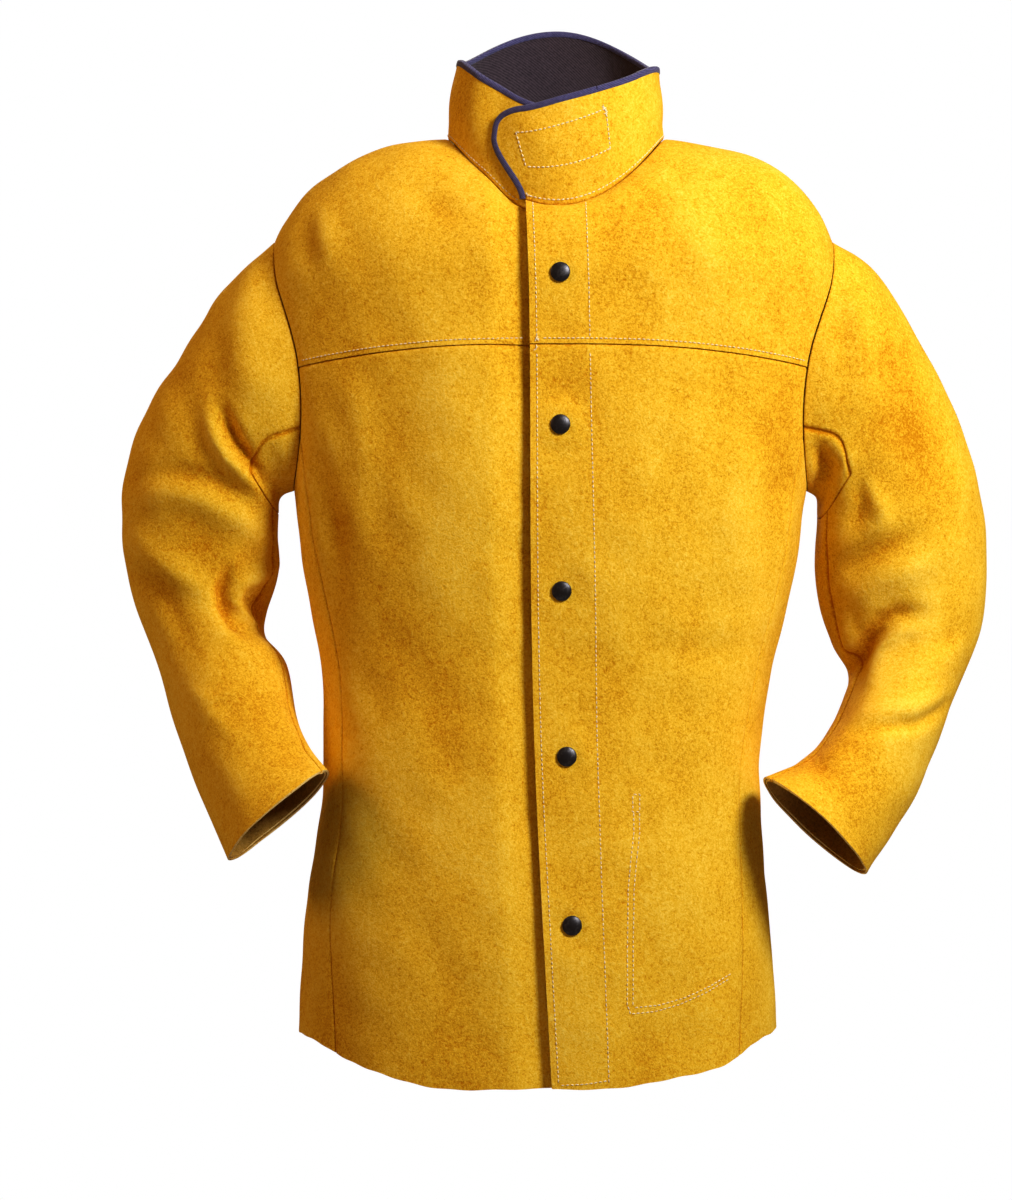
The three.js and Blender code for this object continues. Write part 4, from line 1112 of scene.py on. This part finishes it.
# %% Cuff facings
for side in SLEEVES:
    ring, angle = np.meshgrid(np.linspace(9.02, 9.97, 16), np.linspace(0, 2 * math.pi, 105), indexing="ij")
    points, _, _ = sleeve_skin(side, ring, angle, BEHIND_LEFT)
    points[:, -1] = points[:, 0]
    strip = grid_object(f"{side}_cuff_lining", points, flip=side == "left", wrap=True, materials=FACING_FACES)
    thicken(strip, FACING)
    declare_sheet(strip, points)
    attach(strip, f"{side}_forearm")
    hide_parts(f"{side}_cuff_facing")
    print(strip.name, sheet_sizes[strip.name])

# %% [markdown]
# ## Collar
# The collar stands round the neck in one long strip of leather, lined with dark flannel. Its left
# end is loose, crosses over the right one and is held by hook tape, which a stitched rectangle shows.
# A folded navy binding closes the upper edge. The strip is made in three lengths: the left part, the right part and
# the loose end.

# %% The collar surface
COLLAR_FOLD, COLLAR_UNDER_END, SIDE_NECK = 21, 375, 90
COLLAR_HIGH, COLLAR_BULGE, COLLAR_SWELL = 74, 2.5, (0.9, 0.45)
# The top of the left half rises and falls a little, turn by turn in degrees.
COLLAR_TILT = [[-40, -13], [-28, -10], [0, 7], [22, 9.5], [50, 2], [85, -6], [130, -3], [180, 0]]


def collar_point(turn, up, depth=0.0, tucked=False):
    turn, up, depth = np.broadcast_arrays(
        np.asarray(turn, float), np.asarray(up, float), np.asarray(depth, float))
    foot = neck_point(turn)
    foot[..., 2] += 0.4
    x = COLLAR_TOP["x"] + COLLAR_TOP["wide"] * np.sin(turn)
    y = COLLAR_TOP["y"] - COLLAR_TOP["deep"] * np.cos(turn)
    rim = np.stack([x, y, around(COLLAR_TOP, turn)], -1)
    outward = collar_outward(turn)
    if tucked:
        # The foot follows the sunken right front, and the rim lies behind the loose end.
        lowered = underlay_sink(foot[..., 0], 30.0) * (turn > math.pi)
        behind = COLLAR_SINK * smooth((np.degrees(turn) - 306) / 20)
        foot = foot - body_normal(turn, 28.0) * lowered[..., None]
        rim = rim - outward * behind[..., None]
    rim[..., 2] += np.where(turn > math.pi, 0, along(COLLAR_TILT, 1, np.degrees(turn)))
    bulge = COLLAR_BULGE * np.sin(np.clip(up, 0, 1) * math.pi)
    point = mix(foot, rim, up[..., None])
    sway = waves(point.reshape(-1, 3), *COLLAR_SWELL).reshape(turn.shape)
    sway *= smooth(up / 0.25) * smooth((1.1 - up) / 0.3)
    return point + outward * (bulge + sway - depth)[..., None]


def collar_outward(turn):
    return unit(np.stack([np.sin(turn) / NECK["wide"], -np.cos(turn) / NECK["deep"], 0 * turn], -1))


def loose_end(up):
    slant = mix(-17, -35, smooth(up / 0.6))
    corner = np.clip((up - 0.72) / 0.28, 0, 1)
    return np.radians(slant + 13 * (1 - np.sqrt(1 - corner**2)))


print("the loose end's corner lies at", np.round(collar_point(loose_end(0.8), 0.8), 1).tolist())


# %% One sheet of the collar
def collar_sheet(name, from_turn, to_turn, ups, inset, thickness, materials, rolled=False, tucked=True):
    ups = np.array(ups)
    start = from_turn(ups) if callable(from_turn) else np.full(len(ups), math.radians(from_turn))
    count = max(44, int((to_turn - math.degrees(start.min())) / 2.4))
    share = np.linspace(0, 1, count)
    turn = start[:, None] + (math.radians(to_turn) - start)[:, None] * share[None]
    up = np.repeat(ups[:, None], count, 1)
    depth = np.zeros_like(up) + inset
    if rolled:
        depth += np.interp(up * COLLAR_HIGH, [-1.5, -0.5, 0.4, 1.4], [1.6, 0.7, 0.2, 0])
    points = collar_point(turn, up, depth, tucked)
    # The outer collar is painted darker along its rolled foot, as shade where it turns in at the neck.
    painted_shading = -0.9 * smooth((1.6 - up * COLLAR_HIGH) / 2) if rolled else np.zeros_like(up)
    piece = grid_object(name, points, painted_shading, materials=materials)
    thicken(piece, thickness)
    declare_sheet(piece, points)
    return piece


# %% The six sheets: three of leather, three of lining
FOOT_ROWS = [-0.02, -0.007, 0.005, 0.02, 0.05]
COLLAR_ROWS = FOOT_ROWS + list(np.linspace(0.09, 1.0, 28))
LOOSE_ROWS = FOOT_ROWS + list(np.sin(np.linspace(0.06, 1, 40) * math.pi / 2))
LINING_ROWS = list(np.linspace(0.03, 1.0, 26))
LINING_INSET = LEATHER + LAYER_GAP


def on_loose_end(piece):
    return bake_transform(piece)


def lining_end(up):
    return loose_end(up) + math.radians(1)


OUTER, LINED = (0, LEATHER, LEATHER_FACES), (LINING_INSET, LINING, (lining,) * 3)
COLLAR_SHEETS = [
    ("collar_left", "collar_outer", COLLAR_FOLD, SIDE_NECK, COLLAR_ROWS, OUTER),
    ("collar_right", "collar_outer", SIDE_NECK, COLLAR_UNDER_END, COLLAR_ROWS, OUTER),
    ("collar_loose_end", "collar_flap_outer", loose_end, COLLAR_FOLD, LOOSE_ROWS, OUTER),
    ("collar_lining_left", "collar_lining", COLLAR_FOLD, SIDE_NECK, LINING_ROWS, LINED),
    ("collar_lining_right", "collar_lining", SIDE_NECK, COLLAR_UNDER_END, LINING_ROWS, LINED),
    ("collar_lining_loose", "collar_flap_lining", lining_end, COLLAR_FOLD, LINING_ROWS, LINED),
]
for name, node_name, from_turn, to_turn, ups, layer in COLLAR_SHEETS:
    is_loose, is_outer = "loose" in name, layer is OUTER
    piece = collar_sheet(name, from_turn, to_turn, ups, *layer, rolled=is_outer, tucked=not is_loose)
    if is_loose:
        on_loose_end(piece)
    elif "left" in name:
        on_left_front(piece)
    else:
        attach(piece, "torso")
    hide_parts(node_name)
print("collar", {k: v[:2] for k, v in sheet_sizes.items() if "collar" in k})

# %% [markdown]
# ## Binding
# The binding is a cloth tape folded over the edge, so its section is a rounded slab. The section is
# carried along the edge by laying a grid round it, and the two ends are then filled.


# %% A band along an edge
def band(name, path, outward, away, high, deep, middle_high, middle_deep, material):
    count = 16
    round_it = np.linspace(0, 2 * math.pi, count + 1)
    squared = 0.55
    a = np.sign(np.cos(round_it)) * np.abs(np.cos(round_it)) ** squared * high / 2 + middle_high
    b = np.sign(np.sin(round_it)) * np.abs(np.sin(round_it)) ** squared * deep / 2 - middle_deep
    points = path[:, None] + away[:, None] * a[None, :, None] + outward[:, None] * b[None, :, None]
    points[:, -1] = points[:, 0]
    piece = grid_object(name, points, wrap=True, materials=(material,))
    bm = bmesh.new()
    bm.from_mesh(piece.data)
    bmesh.ops.holes_fill(bm, edges=[e for e in bm.edges if e.is_boundary], sides=0)
    bmesh.ops.recalc_face_normals(bm, faces=bm.faces)
    bm.to_mesh(piece.data)
    bm.free()
    return piece


# %% The binding along the rim and round the loose end
BINDING_DEEP, BINDING_HIGH, BINDING_UP = 5.0, 5.4, 1.9
BINDING_MIDDLE = (LEATHER + LAYER_GAP + LINING) / 2
BINDING_SHAPE = (BINDING_HIGH, BINDING_DEEP, BINDING_UP, BINDING_MIDDLE, binding)


def rim_band(name, from_turn, to_turn):
    turn = np.radians(np.linspace(from_turn, to_turn, int((to_turn - from_turn) / 1.4)))
    path = collar_point(turn, 1.0, 0.0, True)
    upward = unit(path - collar_point(turn, 0.9, 0.0, True))
    return band(name, path, collar_outward(turn), upward, *BINDING_SHAPE)


binding_left = on_left_front(rim_band("binding_left", COLLAR_FOLD, SIDE_NECK))
binding_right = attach(rim_band("binding_right", SIDE_NECK, COLLAR_UNDER_END), "torso")
ups = np.concatenate([np.ones(34), np.sin(np.linspace(1, 0, 60) * math.pi / 2)])
turns = np.concatenate([np.linspace(math.radians(COLLAR_FOLD), loose_end(1.0), 34), loose_end(ups[34:])])
keep = np.concatenate([[True], np.abs(np.diff(turns)) + np.abs(np.diff(ups)) > 1e-4])
ups, turns = ups[keep], turns[keep]
path = collar_point(turns, ups)
forward = unit(np.gradient(path, axis=0))
outward = collar_outward(turns)
binding_loose = band("binding_loose", path, outward, unit(np.cross(forward, outward)), *BINDING_SHAPE)
on_loose_end(binding_loose)
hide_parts("collar_binding")
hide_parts("collar_binding")
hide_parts("collar_flap_binding")
for piece in (binding_left, binding_right, binding_loose):
    print(piece.name, len(piece.data.polygons), "faces")

# %% [markdown]
# ## Hook and loop tape, and the hanger loop
# The rectangle of stitches on the collar holds a patch of hook tape behind it, which grips loop
# tape on the end below. At the nape a small strap of leather lets the jacket hang on a hook. It is
# another band, carried along a bow.

# %% Hook tape on the loose end, and loop tape on the collar under it
TAPE = 0.9


def tape_patch(name, from_turn, to_turn, depth):
    up, turn = np.meshgrid(np.linspace(0.3, 0.78, 22), np.radians(np.linspace(from_turn, to_turn, 30)), indexing="ij")
    points = collar_point(turn, up, depth)
    patch = grid_object(name, points, materials=(tape,) * 3)
    thicken(patch, TAPE)
    declare_sheet(patch, points)
    return patch


hook = tape_patch("hook_tape", -20, 10, LINING_INSET + LINING + 2 * LAYER_GAP)
on_loose_end(hook)
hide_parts("collar_hook_tape")
loop = tape_patch("loop_tape", -24, 10, COLLAR_SINK - 2 * LAYER_GAP - TAPE)
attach(loop, "torso")
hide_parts("collar_loop_tape")

# %% Hanger loop at the nape
nape = collar_point(np.array([math.pi]), np.array([0.16]), LINING_INSET + LINING)[0]
share = np.linspace(-1, 1, 61)
bow = 13.5 * (1 - share**2)
loop_path = nape + np.stack([26 * share, -bow, 0 * share], -1)
forward = unit(np.gradient(loop_path, axis=0))
upright = np.tile([0.0, 0.0, 1.0], (len(share), 1))
# The strap sits inside the collar and takes the suede painted darker as shade.
hanger = band("hanger_strap", loop_path, unit(np.cross(forward, upright)), upright, 9.0, 2.0, 0.0, 0.0, suede_inside)
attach(hanger, "torso")
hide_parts("hanger_loop")
print("the strap stands", bow.max(), "mm off the collar")

# %% [markdown]
# ## Snaps
# A snap has a domed cap that shows, a socket behind it, a stud on the other side and a post that
# holds the stud. Each is turned round its own axis, so it is made by spinning an outline, a list of
# (radius, height) in millimetres.


# %% Spinning an outline
SNAP_STEPS = 40


def spun(name, outline, at, normal, depth, material):
    bm = bmesh.new()
    corners = [bm.verts.new((radius * MM, 0, height * MM)) for radius, height in outline]
    for a, b in zip(corners, corners[1:]):
        bm.edges.new((a, b))
    bmesh.ops.spin(bm, geom=bm.verts[:] + bm.edges[:], axis=(0, 0, 1), cent=(0, 0, 0), angle=2 * math.pi,
                   steps=SNAP_STEPS, use_merge=True)
    bmesh.ops.remove_doubles(bm, verts=bm.verts, dist=1e-6)
    bmesh.ops.recalc_face_normals(bm, faces=bm.faces)
    turned = Vector((0, 0, 1)).rotation_difference(Vector(normal)).to_matrix().to_4x4()
    moved = Matrix.Translation(Vector((np.array(at) - np.array(normal) * depth) * MM))
    bm.transform(moved @ turned)
    mesh = bpy.data.meshes.new(name)
    bm.to_mesh(mesh)
    bm.free()
    mesh.shade_smooth()
    mesh.materials.append(material)
    made = bpy.data.objects.new(name, mesh)
    scene.collection.objects.link(made)
    return made


# %% Outlines of the four parts
CAP_RADIUS, DOME, SHANK, RIM_TOP, RIM_IN = 7.8, 2.8, 2, 1.15, 0.965
CAP_SHANK, CURVE_GAP = BEHIND_LEFT + FACING, 1.5


def cap_outline(shank_depth):
    start = [(0, -shank_depth), (SHANK, -shank_depth), (SHANK, LAYER_GAP), (CAP_RADIUS * 0.9, LAYER_GAP)]
    rim = [(CAP_RADIUS, LAYER_GAP + 0.35), (CAP_RADIUS, LAYER_GAP + 0.75), (CAP_RADIUS * RIM_IN, LAYER_GAP + RIM_TOP)]
    crown = [
        (CAP_RADIUS * share, LAYER_GAP + RIM_TOP + (DOME - RIM_TOP) * (1 - (share / RIM_IN) ** 2.4))
        for share in (0.9, 0.78, 0.62, 0.42, 0.22)
    ]
    return start + rim + crown + [(0, LAYER_GAP + DOME)]


SOCKET = [(0, -1.1), (3.0, -1.1), (3.0, -2.5), (4.9, -2.6), (5.35, -2.3), (5.5, -1.8), (5.2, -0.7), (4.5, -0.1),
          (0, 0)]
STUD = [(0, -3.9), (2, -3.9), (2, 0.4), (4.8, 0.4), (5, 0.6), (5, 0.9), (4.7, 1.1), (2.3, 1.2), (2.1, 1.5),
        (2.6, 1.9), (2.5, 2.3), (1.8, 2.6), (0, 2.7)]
POST = [(0, -1.2), (3.6, -1.2), (4.6, -1.0), (5, -0.6), (5, -0.1), (4.8, 0), (0, 0)]
print("cap", 2 * CAP_RADIUS, "mm wide, shank", CAP_SHANK, "mm long")

# %% The five front snaps and the two at the cuffs
for number, (turn, (_, rise)) in enumerate(zip(snap_turns, SNAPS), 1):
    at, normal = body_point(turn, rise), body_normal(turn, rise)
    rows = [
        ("cap", cap_outline(CAP_SHANK), 0, snap_black, "left_front", "snap_black"),
        ("socket", SOCKET, CAP_SHANK + LAYER_GAP, snap_steel, "left_front", "snap_steel"),
        ("stud", STUD, UNDERLAY_SINK, snap_steel, "torso", "snap_steel"),
        ("post", POST, BEHIND_RIGHT + FACING + LAYER_GAP, snap_steel, "torso", "snap_steel"),
    ]
    for part, outline, depth, material, body, slot in rows:
        piece = spun(f"front_{part}_{number}", outline, at, normal, depth, material)
        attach(piece, body)
        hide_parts(f"snap_{part}_{number}")
for side in SLEEVES:
    ring, angle = np.array([CUFF_RING - 0.5]), np.array([cuff_snap_angle])
    at, normal = sleeve_point(side, ring, angle)[0], sleeve_normal(side, ring, angle)[0]
    for part, outline, depth, material, slot in (
        ("cap", cap_outline(CAP_SHANK), -0.3, snap_black, "snap_black"),
        ("post", POST, CAP_SHANK + CURVE_GAP, snap_steel, "snap_steel"),
    ):
        piece = spun(f"{side}_cuff_{part}", outline, at, normal, depth, material)
        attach(piece, f"{side}_forearm")
        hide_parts(f"{side}_cuff_snap_{part}")

# %% [markdown]
# ## Stitching
# Every visible row of thread is made of short, plump stitches, one after the other, that dive
# into the leather at both ends. A stitch is a stretched ball with few faces, because there are
# thousands of them. The small differences in length and direction come from a fixed seed.

# %% Where the stitches of a row lie
STITCH_PITCH, STITCH_LONG, STITCH_WIDE, STITCH_RAISED = 3.7, 3.0, 0.85, 0.2
THREAD_SEED, BATCH = 23, 40
stitch_random = np.random.default_rng(THREAD_SEED)


def stitch_places(points, normals):
    """Where each stitch of a row lies on the skin, which way it runs and which way is out."""
    lengths = np.concatenate([[0], np.cumsum(np.linalg.norm(np.diff(points, axis=0), axis=1))])
    places = np.arange(STITCH_PITCH / 2, lengths[-1], STITCH_PITCH)
    look = lambda where, table: np.stack([np.interp(where, lengths, table[:, k]) for k in range(3)], -1)
    way = unit(look(places + 0.5, points) - look(places - 0.5, points))
    return look(places, points), way, unit(look(places, normals))


# %% One stitch, and a whole object of them
def one_stitch(bm, wide, spot, forward, normal):
    z = Vector(normal)
    x = (Vector(forward) - z * z.dot(Vector(forward))).normalized()
    x = (x + z.cross(x) * stitch_random.normal(0, 0.06)).normalized()
    y = z.cross(x)
    long_by = stitch_random.uniform(0.9, 1.06)
    turned = Matrix((x, y, z)).transposed().to_4x4()
    size = Matrix.Diagonal((STITCH_LONG * long_by, wide * 1.15, wide, 1))
    centre = Matrix.Translation((Vector(spot) + z * STITCH_RAISED) * MM)
    bmesh.ops.create_uvsphere(bm, u_segments=6, v_segments=5, radius=0.5 * MM, matrix=centre @ turned @ size)


def stitch_object(name, rows):
    """Stitches are made forty at a time, because each new ball is slower in a larger mesh."""
    whole, count = bmesh.new(), 0
    batch_mesh = bpy.data.meshes.new("batch")
    for points, normals, *width in rows:
        wide = width[0] if width else STITCH_WIDE
        places = list(zip(*stitch_places(points, normals)))
        count += len(places)
        for start in range(0, len(places), BATCH):
            batch = bmesh.new()
            for place in places[start:start + BATCH]:
                one_stitch(batch, wide, *place)
            batch.to_mesh(batch_mesh)
            batch.free()
            whole.from_mesh(batch_mesh)
    bpy.data.meshes.remove(batch_mesh)
    mesh = bpy.data.meshes.new(name)
    whole.to_mesh(mesh)
    whole.free()
    mesh.shade_smooth()
    mesh.materials.append(thread)
    made = bpy.data.objects.new(name, mesh)
    scene.collection.objects.link(made)
    print(name, count, "stitches")
    return made


# %% Knots, and rows on the body
KNOT_SIZE, KNOT_THREAD = 2.2, 0.7


def knot(spot, normal):
    """A few loose turns of thread where a row was backstitched and cut."""
    rows = []
    for _ in range(5):
        way = unit(np.cross(normal, stitch_random.normal(size=3)))
        start = spot + way * stitch_random.uniform(-1, 0.2) * KNOT_SIZE + normal * stitch_random.uniform(0, 0.5)
        rows.append((np.array([start, start + way * STITCH_PITCH]), np.array([normal, normal]), KNOT_THREAD))
    return rows


def body_row(turns, rises, depth=0.0):
    points, normals, _ = body_skin(turns, rises, depth)
    return points, normals


def body_knot(x, z):
    points, normals = body_row(turn_at_x(np.array([x]), np.array([z])), np.array([z]))
    return knot(points[0], normals[0])


def front_row(xs, zs, steps=160):
    """A row through (x, z) corners on the front of the body."""
    share = np.concatenate([[0], np.cumsum(np.hypot(np.diff(xs), np.diff(zs)))])
    where = np.linspace(0, share[-1], steps)
    x, z = np.interp(where, share, xs), np.interp(where, share, zs)
    return body_row(turn_at_x(x, z), z)


# %% [markdown]
# The placket is sewn along its edge and along the far side of its facing, in two stretches that stop
# at the yoke seam. The pocket shows as a single row below a double one, with a small box at its top,
# where the strain is greatest. The yoke is topstitched just above its seam.

# %% Stitches of the left front: both sides of the placket, its bottom and the pocket
EDGE_INSET, YOKE_INSET, YOKE_RAISED = 5.5, 4.2, -0.25
lower_rises, upper_rises = np.linspace(-751, -180, 300), np.linspace(-166, 24, 110)
placket_rows = []
for rises in (lower_rises, upper_rises):
    placket_rows.append(body_row(front_line(FRONT_EDGE, EDGE_INSET)(rises), rises))
    placket_rows.append(body_row(front_line(FACING_EDGE, -1.5)(rises), rises))
placket_rows.append(front_row([4.9, 25, 43.1], [-752.5, -751.5, -749]))
pocket_outline = [(62.9, -540), (62.9, -556), (60.2, -578), (58.2, -601), (57.4, -650), (57.4, -690), (60, -697.5),
                  (80, -696), (99, -691.5), (120, -683), (138, -674)]
xs, zs = np.array(pocket_outline).T
pocket_rows = [front_row(xs, zs, 260), front_row(xs[:6] + 4.6, zs[:6], 160), front_row(xs[6:] + 3, zs[6:] + 4.8, 120)]
pocket_rows.append(front_row([62.2, 67.6, 67.6, 62.2, 62.2], [-526, -526, -539.5, -539.5, -526], 80))
left_yoke_turns = np.linspace(float(front_edge(-171.0)) + 0.03, float(front_side_line(np.array(-190.0))) - 0.04, 160)
yoke_row = body_row(left_yoke_turns, yoke_rise(left_yoke_turns) + YOKE_INSET, YOKE_RAISED)
ends = body_knot(-14, -167) + body_knot(-14, -175)
left_stitches = stitch_object("left_front_stitches", placket_rows + pocket_rows + ends + [yoke_row])
on_left_front(left_stitches)

# %% Stitches of the yoke on the right front and the back
right_turns = -np.linspace(float(-turn_at_x(-24, -171.0)), float(front_side_line(np.array(-190.0))) - 0.04, 150)
back_turns = np.linspace(float(back_side_line(np.array(-180.0))) + 0.03,
                         2 * math.pi - float(back_side_line(np.array(-180.0))) - 0.03, 260)
yoke_stitches = stitch_object(
    "yoke_stitches",
    [body_row(right_turns, yoke_rise(right_turns) + YOKE_INSET, YOKE_RAISED),
     body_row(back_turns, yoke_rise(back_turns) + YOKE_INSET, YOKE_RAISED)],
)
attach(yoke_stitches, "torso")


# %% [markdown]
# The collar is sewn down along its foot. The rectangle of stitches that holds the hook tape crosses the line where
# the loose end begins to bend, so it is cut there in two parts, one on each piece of leather.


# %% Rows and knots on the collar
def collar_row(turns, ups, sunk=False):
    turns, ups = np.asarray(turns, float), np.asarray(ups, float)
    points = collar_point(turns, ups, 0.0, sunk)
    return points, collar_outward(turns)


def corner_row(a, b):
    share = np.linspace(0, 1, 60)
    return (*collar_row(np.radians(mix(a[0], b[0], share)), mix(a[1], b[1], share)), COLLAR_THREAD)


def collar_knot(turn, up):
    points, normals = collar_row(np.radians([turn]), [up])
    return knot(points[0], normals[0])


COLLAR_THREAD = 1.05
print("thread", STITCH_WIDE, "mm wide on the body,", COLLAR_THREAD, "mm on the collar")

# %% Stitches of the collar
RECTANGLE = [(-23.3, 0.74), (25.5, 0.81), (27.7, 0.40), (-16.8, 0.36)]
share_top = (COLLAR_FOLD - RECTANGLE[0][0]) / (RECTANGLE[1][0] - RECTANGLE[0][0])
share_low = (COLLAR_FOLD - RECTANGLE[3][0]) / (RECTANGLE[2][0] - RECTANGLE[3][0])
top_cut = (COLLAR_FOLD, mix(RECTANGLE[0][1], RECTANGLE[1][1], share_top))
low_cut = (COLLAR_FOLD, mix(RECTANGLE[3][1], RECTANGLE[2][1], share_low))
foot_up = 0.05
loose_stitches = stitch_object(
    "loose_end_stitches",
    [corner_row(RECTANGLE[0], top_cut), corner_row(low_cut, RECTANGLE[3]), corner_row(RECTANGLE[3], RECTANGLE[0]),
     corner_row((-15, foot_up), (COLLAR_FOLD, foot_up)), *collar_knot(-15.5, foot_up)],
)
on_loose_end(loose_stitches)
left_collar_stitches = stitch_object(
    "left_collar_stitches",
    [corner_row(top_cut, RECTANGLE[1]), corner_row(RECTANGLE[1], RECTANGLE[2]), corner_row(RECTANGLE[2], low_cut),
     *collar_knot(24.7, 0.82), *collar_knot(25.6, 0.76),
     collar_row(np.radians(np.linspace(COLLAR_FOLD, SIDE_NECK, 120)), np.full(120, foot_up))],
)
on_left_front(left_collar_stitches)
right_collar_stitches = stitch_object(
    "right_collar_stitches",
    [collar_row(np.radians(np.linspace(SIDE_NECK, 340, 320)), np.full(320, foot_up), sunk=True)],
)
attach(right_collar_stitches, "torso")
